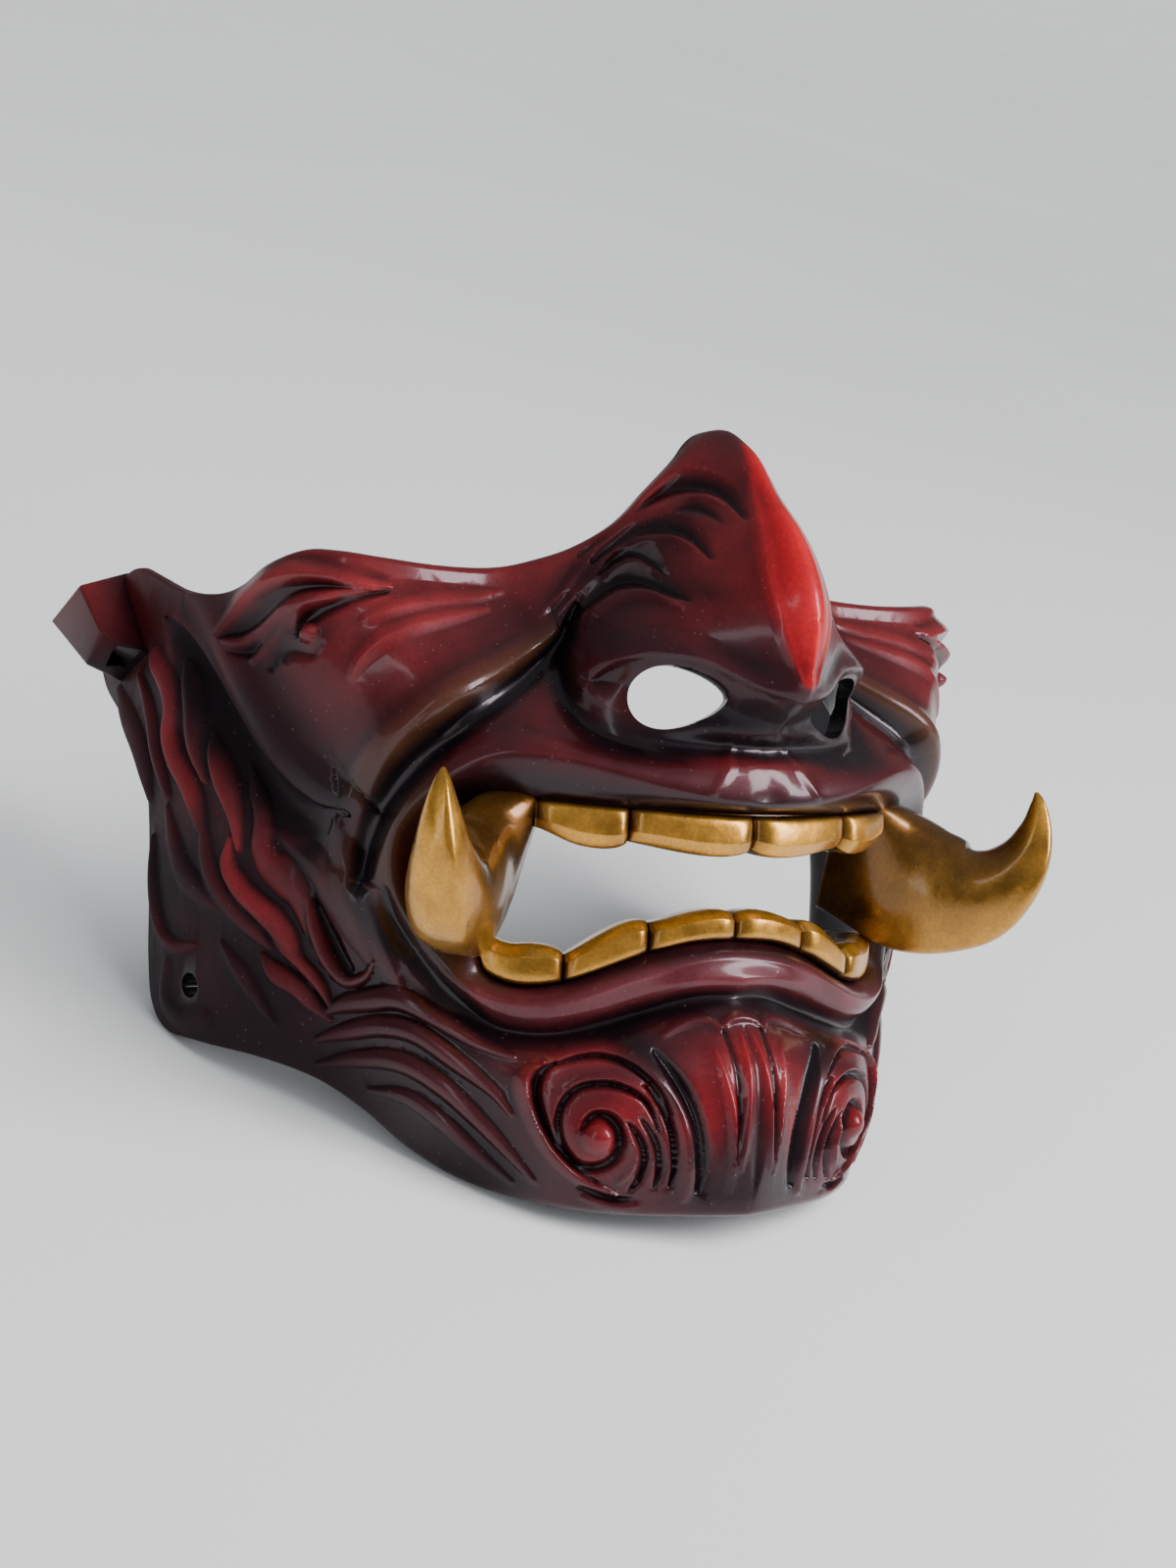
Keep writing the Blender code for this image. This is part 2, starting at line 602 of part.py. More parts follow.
def main():
    clear_scene()
    lacquer = material("red_lacquer", (0.16, 0.02, 0.02), 0.35, 0.0)
    gold = material("gold_paint", (0.45, 0.24, 0.06), 0.3, 0.6)
    shell_points, faces = shell_mesh()
    lean = resting_lean(shell_points)
    shell = new_object("mask_shell", shell_points, faces, lacquer)
    sides = (("left", 1), ("right", -1))
    blocks = [new_object("lug_" + name, *lug(side), lacquer) for name, side in sides]
    for block in blocks:
        join_by(shell, block, "UNION")
    cutters = []
    for name, side in sides:
        for kind, shape in side_cutters(side, lean).items():
            cutter = new_object(kind + "_" + name, *shape, lacquer)
            join_by(shell, cutter, "DIFFERENCE")
            cutters.append(cutter)
    solids = [shell] + [new_object("tusk_" + name, *tusk(side), gold) for name, side in sides]
    solids.append(new_object("upper_teeth", *tooth_row(UPPER_TEETH, True), gold))
    solids.append(new_object("lower_teeth", *tooth_row(LOWER_TEETH, False), gold))

    stance = bpy.data.objects.new("stance", None)
    bpy.context.scene.collection.objects.link(stance)
    turn = Matrix.Rotation(-lean, 4, "X")
    spots = np.array([turn @ v.co for item in solids + blocks for v in item.data.vertices])
    middle = (spots.min(axis=0) + spots.max(axis=0)) / 2
    stance.rotation_euler = (-lean, 0, 0)
    stance.location = (0, -middle[1], -spots[:, 2].min())
    for item in solids + blocks + cutters:
        item.parent = stance
    return stance


STANCE = main()
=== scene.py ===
"""Looks of the oni half mask: carved red skin, gold teeth and tusks, floor, lights and camera.

The skin repeats the part's chart: degrees round the front from the middle of the face, then
hundredths of the face's height. Widths and depths of the carving are in millimetres.
"""
import math

import bmesh
import bpy
import numpy as np
from mathutils import Matrix, Vector


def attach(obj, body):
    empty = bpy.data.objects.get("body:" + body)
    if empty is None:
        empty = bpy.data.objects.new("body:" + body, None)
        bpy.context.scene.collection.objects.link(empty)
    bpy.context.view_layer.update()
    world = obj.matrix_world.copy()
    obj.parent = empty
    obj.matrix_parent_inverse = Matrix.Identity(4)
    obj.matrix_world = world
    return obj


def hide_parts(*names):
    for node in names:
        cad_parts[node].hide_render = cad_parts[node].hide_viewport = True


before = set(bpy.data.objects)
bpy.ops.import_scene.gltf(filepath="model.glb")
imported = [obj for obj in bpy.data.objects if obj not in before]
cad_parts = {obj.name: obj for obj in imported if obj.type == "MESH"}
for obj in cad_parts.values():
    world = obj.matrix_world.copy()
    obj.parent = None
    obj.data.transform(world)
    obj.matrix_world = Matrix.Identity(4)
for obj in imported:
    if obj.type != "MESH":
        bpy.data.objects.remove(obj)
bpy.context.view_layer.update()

MM = 0.001

# Sizes shared with the part
FACE_HEIGHT = 152 * MM
HALF_WIDTH = 86 * MM
FACE_DEPTH = 86 * MM
WALL = 3.8 * MM
LIP_WALL = 3.0 * MM
CREST_WALL = 5.0 * MM
THIN_WALL = 2.4 * MM
FIT_GAP = 0.3 * MM
RELIEF = 10 * MM
NOSE_REACH = 36 * MM
LIP_WIDTH = 9 * MM
FOLD_WIDTH = 10 * MM
NOSE_SHARPNESS = 1.45
NOSE_RIDGE_ROUND = 0.063
NOSE_SIDE_FADE = 22.0
NOSTRIL_WIDE = 18.2 * MM
NOSTRIL_TALL = 11.4 * MM
NOSTRIL_AT = (12.0, 64.4)
NOSTRIL_AIM = 20.0
NOSTRIL_TAPER = 0.3
NOSTRIL_SINK = 1.6 * MM
NOSTRIL_ROLL = (0.8, 1.3)
STRAP_HOLE = 5 * MM
STRAP_HOLE_AT = (81.0, 25.0)
TOOTH_DEPTH = 9 * MM
TOOTH_BULGE = 3.5 * MM
TOOTH_ROOT = 4 * MM
TOOTH_LOBE = 1.9 * MM
TOOTH_LOBE_LEAN = 0.62
UPPER_END_CURL = 1.0 * MM
LOWER_END_CURL = 3.4 * MM
TUSK_AZIMUTH = 38.0
TUSK_ROOT_IN = 15 * MM
TUSK_REACH = 45 * MM
TUSK_TALL = 25 * MM
TUSK_THICK = 17 * MM
TUSK_UP = 31.6
TUSK_FLARE_RISE = 0.34
LUG_OUT = 11 * MM
LUG_SLOT_WIDE = 4.6 * MM
LUG_SLOT_TALL = 6.5 * MM
LUG_SLOT_WALL = 1.6 * MM
LUG_SLOT_AT = (0.285, 71.0)

# How the upright mask is laid back to rest, as in the part
LEAN = math.radians(24.17429)
STANCE = Vector((0, -0.0000998, -0.0274577))
TO_REST = Matrix.Translation(STANCE) @ Matrix.Rotation(-LEAN, 4, "X")

# Fineness
HALF_SPOKES = 800
LIP_RINGS = 20
FACE_RINGS = 192
INNER_LIP_RINGS = 4
INNER_FACE_RINGS = 24
LOOP_STEPS = 24
COURSE_STEPS = 8
RING_CROWDING = 0.12
STEEPEST = 1.6
SLOPE_STEP = 0.3 * MM
EDGE_ROUND = 1.8 * MM
SHADE_BORDER = 16 * MM
LIP_BARE = 0.6
CUTTER_SIDES = 96
SKIN_TRIANGLES = 192000
INNER_REACH = 6
INNER_BLUR = 12

# Painted shade in the carving's hollows, partly also the mask's black airbrush there, and painted
# highlight on its crests: passes of blur, depths in millimetres that count in full, and strengths
CAVITY_BLUR, BROAD_BLUR = 40, 260
CAVITY_FULL, BROAD_FULL, CREST_FULL = 0.45, 1.6, 0.5
CAVITY_DARK, BROAD_DARK, CREST_BRIGHT, CAVITY_CURVE = 0.85, 0.6, 0.6, 0.8
INNER_SHADE, INNER_GLOSS = 1.5, 0.3

# Sections of the strokes: power and shoulder; and how far each kind reaches past its half width
CREST_SECTION = (1.4, 0.6)
CUT_SECTION = (1.5, 0.9)
STROKE_SPREAD, STROKE_REACH, STRAND_REACH = 1.5, 1.9, 1.05
THINNING = 0.8
SPRAY_REACH = 2.6
LEAST_WIDTH = 0.05

RIM = [
    (0, 50.3, 0.05), (8.7, 50.5, 0.05), (17.3, 50.9, 0), (25.3, 51.3, -0.1), (30.7, 51.4, -0.2),
    (36, 50.8, -0.35), (41.3, 48.9, -0.55), (44.7, 45.4, -0.7), (45.3, 40.8, -0.75),
    (44.3, 37, -0.75), (41.5, 34.8, -0.75), (38.3, 33.6, -0.75), (36.4, 31.8, -0.75),
    (35.2, 29.2, -0.75), (30.7, 27.8, -0.75), (25.3, 28.3, -0.7), (20, 29.9, -0.65),
    (13.3, 32.2, -0.62), (6.7, 33.7, -0.6), (0, 34.1, -0.6),
]
CREST = [
    (0, 52, 0.47), (6, 52.2, 0.47), (14, 53.6, 0.45), (20.7, 55.3, 0.42), (26.7, 56.6, 0.4),
    (32.7, 56.6, 0.38), (38, 55, 0.32), (42.7, 52, 0.22), (46.7, 47.4, 0.1), (48, 41.4, -0.1),
    (46.7, 36.2, -0.35), (43.3, 31.6, -0.45), (38.7, 28, -0.4), (32.7, 25.9, -0.35),
    (26.7, 25.9, -0.3), (20.7, 27.3, -0.28), (14, 29.6, -0.28), (6.7, 31.3, -0.3), (0, 31.8, -0.3),
]
EDGE = [
    (0, 100), (2.6, 99.5), (5.2, 97.9), (8.2, 95.2), (12.3, 91.6), (17.6, 87), (24.3, 83.8),
    (31, 81.9), (38, 80.6), (45, 80.2), (51, 80.6), (56, 81.2), (60.5, 81.3), (65.4, 79.6),
    (69.5, 77.2), (75, 76.1), (82, 76.4), (89, 77.6), (96, 79.4), (103, 80.9), (109, 79.6),
    (114, 76), (116.5, 70.5), (114, 65), (107, 60.5), (100, 55.5), (95.5, 49.5), (94, 42),
    (93.6, 35), (93.4, 28), (92, 22), (87.5, 18.6), (80, 17.7), (70, 16.6), (61, 14.4),
    (53.5, 10.8), (46.5, 6.4), (38.5, 3.2), (29, 1.3), (18, 0.2), (8, 0), (0, 0),
]

# How the spokes spread: share of the spokes, then of the rim, crest and edge
SPREAD = [
    (0, 0, 0, 0), (0.2, 0.17, 0.16, 0.11), (0.58, 0.52, 0.52, 0.575), (0.8, 0.78, 0.78, 0.8),
    (1, 1, 1, 1),
]

# Nose: up, relief of the hollow beside it, rise of its ridge, half width in degrees
NOSE = [
    (50, 0, 0.1, 20), (56, -0.2, 0.16, 20), (59.1, -0.45, 0.17, 21), (60.4, -0.6, 0.32, 22),
    (62.5, -0.85, 0.51, 24), (65.1, -1.1, 0.73, 26), (68.8, -1.4, 0.845, 26.5),
    (75.9, -1.8, 0.99, 26), (80.8, -2, 0.975, 24), (85.9, -2.1, 0.855, 21),
    (90.5, -2.05, 0.64, 17), (96.7, -2.2, 0.45, 13), (100, -2.4, 0.28, 11),
]
NOSE_SIDE_START = ((60, 78), (20, 34))

# Rounded forms: azimuth, up, half width in degrees, half height, turn, relief
FORMS = [
    (18, 69, 8, 6.5, -10, 0.75),  # nostril wing
    (58, 68, 19, 11, 30, 0.45),  # cheek
    (61, 77.5, 9, 4.5, 0, 0.3),  # cheek bump
    (22, 57.5, 18, 5, 0, 0.25),  # upper lip
    (76, 40, 22, 22, 0, 0.1),  # side
    (54, 6, 22, 34, 0, -1),  # jaw
    (42, 0, 26, 8, 0, -0.5),  # under the chin
    (0, 24.5, 24, 4.5, 0, -0.5),  # chin hollow
    (0, 11.5, 8, 13, 0, 0.25),  # chin lobe
    (20, 9.8, 9.5, 10, 0, 0.35),  # chin swirl
]

# Folds and furrows: width and relief in shares, then their course as azimuth and up
FOLDS = [
    # Smile furrow
    (0.5, -0.35,
     [(22.6, 75.5), (28.1, 69.1), (35.6, 63.1), (42.4, 57.4), (49, 48.7), (52, 40)]),
    # Smile fold
    (0.58, 0.4,
     [(26.2, 72.9), (35.8, 66.2), (44.4, 59.1), (52.3, 51.6)]),
    # Cheek border
    (0.50, 0.25,
     [(84.1, 76.4), (75.7, 71.6), (70.3, 65.3), (62.5, 54.9), (55.5, 49.9), (52.3, 51.6)]),
    # Furrow behind the cheek
    (0.50, -0.25,
     [(87, 73), (79, 67), (73, 59.5), (65.5, 50.5), (57, 45.5)]),
    # Furrow under the lip
    (0.35, -0.3,
     [(-14, 25.6), (-7, 26.5), (0, 26.8), (7, 26.5), (15.4, 25), (25, 22.4),
      (31.6, 22.4), (38.5, 24.4), (46, 30)]),
]

# Carving. Each stroke: section, height or depth, skew of its crest towards the left of its
# run, then its course as azimuth, up and half width. "strand" strokes overlap like hair, the
# others add up.
STROKES = [
    # Wrinkles on the side of the nose
    ("cut", 2.8, 0.4, [(23.4, 82.6, 0.5), (20.6, 85, 1.3), (17.6, 87.6, 2), (14.5, 89.8, 2.4),
     (11.1, 91.6, 2.5), (8.2, 92.4, 2.3), (5.9, 92.2, 1.9), (4.5, 91, 1.4), (4, 89.4, 0.9),
     (3.9, 87.4, 0.4)]),
    ("crest", 0.8, 0, [(18.9, 85.2, 0.5), (15.4, 87.5, 0.9), (11.8, 89.4, 1), (8.6, 90.5, 1),
     (6.7, 90.4, 0.9), (5.4, 89.3, 0.5)]),
    ("cut", 0.9, 0, [(10.4, 88.3, 0.4), (9.2, 88.6, 0.9), (7.8, 88.6, 1.1), (6.8, 87.9, 1),
     (6.1, 86.8, 0.4)]),
    ("cut", 2.5, 0.4, [(21.4, 81.8, 0.5), (18.7, 84.1, 1.3), (15.8, 85.8, 2), (13.2, 86.8, 2.2),
     (11, 86.7, 2), (9.4, 85.8, 1.6), (8.5, 84.2, 1.1), (8, 82.2, 0.5)]),
    ("crest", 0.8, 0, [(19.5, 81.9, 0.5), (16.8, 84, 0.9), (14, 85, 1), (11.6, 85.1, 1),
     (9.8, 83.8, 0.5)]),
    ("cut", 2.8, 0.4, [(20.4, 80.2, 0.4), (18.2, 82.4, 1.2), (16, 83.5, 1.7), (14.4, 83.2, 1.7),
     (13.3, 81.8, 1.3), (12.5, 80, 0.5)]),
    ("crest", 0.7, 0, [(19.5, 79.4, 0.4), (17.6, 81.2, 0.8), (15.6, 81.9, 0.9),
     (14.4, 80.9, 0.5)]),
    ("cut", 2.6, 0.5, [(25.6, 73.6, 0.5), (23.4, 76, 1.3), (20.9, 78.2, 1.7), (18.4, 79.5, 1.8),
     (15.8, 79.9, 1.9), (14, 79.4, 1.8), (12.4, 78, 1.3), (11, 76.8, 0.5)]),
    ("crest", 0.9, 0, [(22.6, 73.4, 0.6), (20.6, 75.8, 1.1), (17.8, 77.2, 1.3), (14.6, 77.4, 1.2),
     (12, 75.6, 0.6)]),
    ("crest", 0.6, 0, [(21.4, 82.6, 0.5), (23.6, 80.2, 0.9), (26.4, 77.4, 0.9),
     (29.4, 74.6, 0.5)]),
    ("crest", 0.5, 0, [(1.6, 93, 0.4), (2.6, 88.6, 0.8), (3.4, 84.6, 1), (3.9, 78.8, 1),
     (3.4, 74.6, 1), (2.4, 70.6, 0.8), (1, 66.6, 0.4)]),
    ("crest", 0.5, 0, [(0, 74, 0.5), (0, 70, 0.8), (0, 66.6, 0.8), (0, 64.4, 0.5)]),
    # Wing of the nostril
    ("cut", 1.3, 0, [(23.5, 77, 1), (25.4, 73, 2), (26.4, 69, 2.4), (26, 65, 2.4), (24, 61.4, 2.2),
     (20.8, 59.2, 1.8), (16.6, 58, 0.9)]),
    ("crest", 1.4, 0.5, [(23.6, 65.4, 0.6), (22.2, 67.8, 1.4), (19.8, 69.9, 2), (16.8, 70.8, 2.2),
     (12.8, 70.8, 2.2), (9.1, 69.8, 2), (6.4, 67.9, 1.6), (3.6, 66.1, 1.2), (0.6, 64.8, 0.8)]),
    ("cut", 2.4, 0, [(23, 66.2, 1.2), (20.8, 66.2, 2.8), (17, 65.8, 3.6), (12, 65.2, 3.8),
     (8, 64.2, 3.4), (4.6, 62.6, 2.4), (1, 61.6, 1.4)]),
    # Smile furrow and its fold
    ("cut", 2.2, 0.25, [(23.6, 76, 0.8), (25.4, 72, 1.6), (28.1, 69.1, 2.2), (32.1, 65.8, 2.4),
     (38.9, 60.2, 2.6), (46.2, 53.1, 2.8), (51, 45.5, 2.6), (52.4, 40, 1.8)]),
    ("soft", 0.9, 0, [(26.2, 72.9, 1.5), (30.9, 69.6, 3), (40.1, 62.8, 3.6), (48.2, 55.4, 3.6),
     (52.5, 50.6, 2.5)]),
    ("cut", 0.5, 0, [(33, 71.5, 1), (40.5, 66.5, 2.6), (47.5, 60, 3.2), (53, 54.5, 2)]),
    # Hard rear border of the cheek
    ("cut", 2.8, -0.75, [(91, 73, 0.8), (87.8, 70.6, 2.4), (83.8, 66.8, 3.4), (79.9, 62.7, 3.8),
     (75.6, 58.6, 3.8), (71.5, 55.2, 3.6), (66.6, 51.6, 3.4), (62.6, 49, 3), (58.5, 47.6, 2.4),
     (54.5, 48, 1.2)]),
    # Folds above the cheek
    ("crest", 1.7, 0.3, [(73.5, 70.8, 0.8), (70.1, 74.5, 1.8), (66.7, 76.6, 2.1), (62.8, 78, 2.1),
     (59.1, 78.5, 2), (55.6, 78.1, 1.7), (52, 77.3, 1.2), (49.4, 77, 0.5)]),
    ("cut", 1.5, 0.2, [(73.2, 70.4, 0.5), (69.8, 71.2, 1.5), (66, 73, 2), (63.2, 74.8, 2),
     (60, 76.3, 1.7), (56.6, 76.7, 1.2), (53.4, 76.4, 0.6)]),
    ("crest", 1.5, 0.3, [(71.8, 70, 0.8), (68.8, 69.8, 1.5), (66, 71.1, 1.7), (63.6, 72.7, 1.7),
     (60.7, 74.3, 1.6), (57.2, 75.1, 1.4), (53.6, 75.7, 1), (50.5, 76.4, 0.5)]),
    ("cut", 1.1, 0.2, [(71, 68.4, 0.5), (67.6, 68.5, 1.3), (65.4, 70.1, 1.5), (63, 72, 1.3),
     (60.7, 73.4, 0.6)]),
    ("crest", 1.3, 0, [(66.8, 67.4, 1), (64.6, 70.4, 1.6), (61.5, 72.7, 1.7), (58.5, 73.9, 1.5),
     (55.2, 75, 0.8)]),
    ("cut", 1.6, -0.3, [(59.6, 70.6, 0.8), (58.6, 72.2, 1.4), (55.6, 74, 1.5), (52.5, 75.2, 1.2),
     (49.6, 76, 0.5)]),
    ("dome", 2.2, 0, [(58.4, 70.7, 2.2)]),
    ("cut", 1.1, 0, [(64, 66.4, 0.9), (62.6, 68.2, 2), (60.6, 68.6, 1.8), (58, 68.2, 1.2),
     (56.6, 69.4, 0.6)]),
    ("cut", 0.5, 0, [(61.8, 80.3, 0.8), (57.8, 79.7, 1.4), (54.5, 78.8, 1.4), (50.2, 77.9, 0.8)]),
    ("crest", 0.7, 0, [(36, 77.4, 0.6), (40.5, 76.2, 1.4), (46, 75, 1.6), (51, 72.6, 1)]),
    ("crest", 0.8, 0, [(37.5, 75, 0.6), (41.5, 73.8, 1.5), (46, 72, 1.8), (50.5, 68.6, 1.6),
     (52.5, 65.4, 0.8)]),
    # Upper lip
    ("cut", 0.5, 0, [(0, 59.4, 2.4), (0, 56, 3.2), (0, 53, 3.2)]),
    ("crest", 0.5, 0, [(3.8, 59.8, 0.6), (5.4, 56.2, 1.4), (7.8, 52.8, 0.8)]),
    ("cut", 0.5, 0, [(31, 60, 0.8), (24, 58.4, 1.6), (17, 57.2, 1.8), (11, 56.6, 0.8)]),
    # Under the lower lip
    ("cut", 1.8, 0, [(48.8, 39, 1.2), (47.4, 35, 2), (43.8, 30.4, 2.2), (39.4, 26.6, 2.2),
     (34, 22.8, 2.1), (27, 21.9, 2), (20, 23, 2), (13, 25, 1.9), (6, 26.8, 1.8), (0, 27.1, 1.8),
     (-6, 26.8, 1.8)]),
    ("crest", 0.8, 0, [(41, 29.2, 1), (34, 25.2, 2.2), (26.7, 24.5, 2.6), (19, 25.8, 2.8),
     (10, 28.6, 2.8), (4, 29.6, 2.8), (0, 29.8, 2.8), (-4, 29.6, 2.8)]),
    # Soft bands beside the corner of the mouth
    ("soft", 1.3, 0, [(55.5, 47.5, 1), (54.8, 43, 2.6), (53, 38.6, 3.2), (50.9, 34.2, 3),
     (48.6, 29.8, 2.2), (47, 27.4, 1)]),
    ("soft", 1.3, 0, [(65.5, 46, 1), (61.4, 43.6, 2.6), (58.2, 40.8, 3.2), (55.2, 36.9, 3),
     (53.2, 33.3, 2.4), (51.4, 30.2, 1.2)]),
    # Long leaf at the jaw
    ("cut", 1.4, 0, [(59.3, 37.6, 0.4), (57.9, 34.6, 1), (56.3, 31.6, 1.2), (54.4, 29, 0.7)]),
    ("strand", 2.2, 0, [(60, 39.4, 0.4), (59.8, 35.7, 1.4), (58.9, 32.6, 1.8), (57.4, 29.6, 1.9),
     (55, 27.4, 1.6), (52.2, 28, 1.2), (50.6, 30, 0.5)]),
    # Hair on the side
    ("strand", 2, 0.2, [(107, 64, 1.4), (104, 61.2, 3), (100.7, 58.4, 3.7), (97.4, 55.5, 3.8),
     (94.9, 52.5, 3.4), (93, 49.4, 1.6)]),
    ("strand", 1.8, 0, [(99.5, 66, 1), (96, 62.8, 2), (93.4, 59.4, 2.4), (91.6, 55.8, 2.4),
     (89, 52.6, 2.2), (86.8, 49.6, 1.2)]),
    ("strand", 2.6, 0.3, [(93.5, 69, 1.4), (92.2, 67.4, 2.6), (87.8, 64.4, 3), (86, 61.1, 2.9),
     (86.1, 57.8, 3.2), (84.1, 54.7, 3.3), (81, 51.8, 3.1), (79.1, 48.8, 2.6), (77.7, 45.4, 1.4)]),
    ("strand", 2.2, 0, [(85, 67.4, 1), (83.1, 64.7, 2.6), (81, 60.5, 3.1), (80, 56.3, 2.8),
     (77.7, 52, 1.2)]),
    ("strand", 2.5, 0.2, [(77.4, 58.4, 0.6), (75.6, 55.2, 2.2), (73.5, 51.9, 3.1),
     (71.9, 49.3, 2.9), (71, 46.5, 2.1), (70.9, 43.4, 1)]),
    ("strand", 2.6, 0.2, [(72.2, 44.6, 1), (72.5, 41.2, 2.3), (70.5, 38.3, 2.7), (67.9, 36.3, 2.9),
     (65.3, 34.4, 3.1), (63.4, 32.2, 2.8), (61.6, 29.4, 1)]),
    ("strand", 2.5, -0.2, [(71, 54.2, 0.5), (69.2, 51.2, 1.7), (67.8, 48.9, 2.2), (67, 46.4, 2.8),
     (66.8, 43.9, 3.5), (65.6, 41.7, 4), (63.6, 40.2, 4.4), (61.8, 38.2, 3.8), (61.1, 35.6, 2),
     (60.8, 33.4, 0.8)]),
    ("strand", 2.3, 0.2, [(67.6, 29.9, 0.8), (65.4, 27.7, 2.5), (62.3, 26.1, 2.5), (60, 24.1, 2.1),
     (57.7, 22.2, 0.6)]),
    ("strand", 1.9, 0, [(66.4, 33.4, 0.6), (64, 31, 1.6), (61.4, 29, 1.8), (59, 26.6, 1.6),
     (57.2, 23.4, 0.7)]),
    ("strand", 1.6, 0, [(77.6, 46.4, 1), (77.2, 42.4, 2.4), (75.4, 38.8, 2.9), (72, 35.6, 3),
     (68.6, 33, 2.4), (66.4, 31, 1)]),
    ("strand", 1.5, 0, [(87, 48, 1.4), (84.8, 43.6, 3), (82, 39.6, 3.6), (78, 37.2, 3.2),
     (74, 35.2, 1.4)]),
    ("strand", 1.7, 0, [(91.2, 44, 1), (90.6, 39, 2), (89.4, 34.6, 2.2), (87, 31.2, 2),
     (83.4, 29.8, 1.7), (79.6, 30.4, 0.9)]),
    ("strand", 1.5, 0, [(74.4, 31, 0.8), (72, 28.2, 2), (70.2, 26, 2.2), (68, 23.2, 1.6),
     (66.4, 21.2, 0.7)]),
    ("soft", 0.9, 0, [(86.4, 27.2, 1.6), (86.6, 22.6, 2), (82.6, 20.4, 2), (78, 21, 1.8)]),
    # Flowing bands from the jaw to the chin
    ("strand", 1.9, 0.2, [(58.6, 23.2, 0.8), (55.6, 24.4, 2), (51.6, 25.2, 2.6), (47, 25.6, 2.6),
     (42, 23.8, 2.2), (36, 21, 1.6), (31, 19.4, 0.8)]),
    ("strand", 1.7, 0.2, [(60, 19.6, 0.8), (55, 21, 2), (49.6, 22, 2.4), (44.4, 21.4, 2.4),
     (38.6, 18.4, 2.2), (33.6, 15.2, 1.4), (31, 12.4, 0.7)]),
    ("strand", 1.6, 0.2, [(60, 16.4, 0.8), (53, 17.6, 2), (46.6, 17.6, 2.4), (40.6, 15.2, 2.4),
     (35.4, 11.4, 2), (31, 7.4, 1.4), (27.6, 4, 0.7)]),
    ("strand", 1.4, 0, [(52, 13.6, 0.8), (46, 13.2, 1.8), (40.6, 10.6, 2.2), (35.4, 6.8, 1.8),
     (30.6, 3.6, 0.8)]),
    # Curled cloud on the chin
    ("crest", 1.7, -0.4, [(27.2, 19, 0.5), (28.8, 18, 0.9), (29.7, 16.8, 1.3), (29.6, 15.2, 1.4),
     (28.9, 13.2, 1.3), (27.8, 10.9, 1.2), (26.3, 8.6, 1.1), (24.4, 6.6, 1.1), (22.2, 4.9, 1),
     (19.6, 3.5, 0.9), (17.4, 2.7, 0.5)]),
    ("crest", 1.4, 0.3, [(27.6, 17.6, 0.5), (26.6, 18.9, 0.8), (24.9, 19.8, 0.9), (23, 20.5, 1),
     (20.2, 20.9, 1), (17.8, 20.6, 1), (15.9, 19.9, 1.1), (13.9, 18.5, 1.2), (11.8, 16.5, 1.5),
     (10.1, 14.1, 1.8), (9.2, 11.5, 2), (8.6, 8.2, 2), (8.3, 5.1, 1.8), (8.6, 2.6, 1)]),
    ("cut", 1.8, 0, [(25.6, 18.9, 0.4), (26.9, 18.1, 0.8), (27.7, 16.8, 1), (27.9, 15.1, 1),
     (27.5, 13.2, 1), (26.6, 11.1, 0.9), (25.3, 8.7, 0.9), (23.7, 6.9, 0.8), (21.9, 5.4, 0.7),
     (19.7, 4.2, 0.4)]),
    ("cut", 1.1, 0, [(25.6, 18.8, 0.4), (22.7, 19.6, 0.7), (20.1, 19.9, 0.7), (17.5, 19.4, 0.7),
     (15.6, 18.5, 0.7), (13.8, 17.1, 0.7), (12.2, 15, 0.6), (11.2, 13, 0.4)]),
    ("cut", 2, 0, [(22.2, 11, 0.4), (21.4, 12.2, 0.8), (20.2, 12.8, 1), (18.6, 12.3, 1.2),
     (17.5, 10.8, 1.2), (17.4, 8.8, 1.1), (18.3, 7.2, 1.1), (20, 6.3, 1.1), (22, 6.4, 1),
     (23.5, 7.6, 0.9), (24.5, 9.3, 0.8), (25, 11.1, 0.8), (24.9, 12.9, 0.8), (24.2, 14.6, 0.8),
     (22.8, 15.9, 0.8), (20.8, 16.5, 0.8), (18.6, 16.5, 0.8), (16.4, 15.9, 0.7), (14.6, 14.8, 0.6),
     (13.4, 13, 0.5), (12.6, 11, 0.4)]),
    ("crest", 0.5, 0, [(24, 15.9, 0.4), (22.4, 17, 0.6), (20, 17.4, 0.7), (17.6, 17.2, 0.7),
     (15.4, 16.3, 0.7), (13.9, 15, 0.6), (12.9, 13.4, 0.5)]),
    ("cut", 1.2, 0, [(14.6, 16.6, 0.3), (13, 14.8, 0.6), (11.8, 13, 0.7), (10.9, 10.8, 0.7),
     (10.4, 8.5, 0.7), (10.2, 6.2, 0.6), (10.6, 4, 0.4)]),
    ("cut", 1.4, 0, [(15, 12.6, 0.3), (14.2, 11.6, 0.6), (13.2, 10.2, 0.8), (12.4, 8.2, 0.8),
     (12.1, 6.1, 0.8), (12.5, 3.8, 0.4)]),
    ("cut", 1.5, 0, [(16.6, 12, 0.4), (15.6, 10.9, 0.7), (14.5, 9, 0.8), (14.1, 7.1, 0.8),
     (14.6, 5, 0.7), (15.6, 3.4, 0.4)]),
    ("crest", 0.9, 0, [(16.8, 10.8, 0.4), (16, 9.4, 0.7), (15.5, 7.8, 0.8), (15.9, 5.9, 0.8),
     (17.2, 4.4, 0.4)]),
    ("cut", 1.1, 0, [(22, 3.8, 0.3), (19.6, 2.9, 0.7), (17.2, 2.2, 0.8), (15.2, 2.4, 0.4)]),
    ("crest", 0.8, 0, [(21.6, 2.4, 0.5), (19.3, 1.6, 0.8), (16.6, 1, 0.9), (14.6, 1.4, 0.5)]),
    ("dome", 1.6, 0, [(20.3, 10, 3.2)]),
    # Fluted lobe of the chin
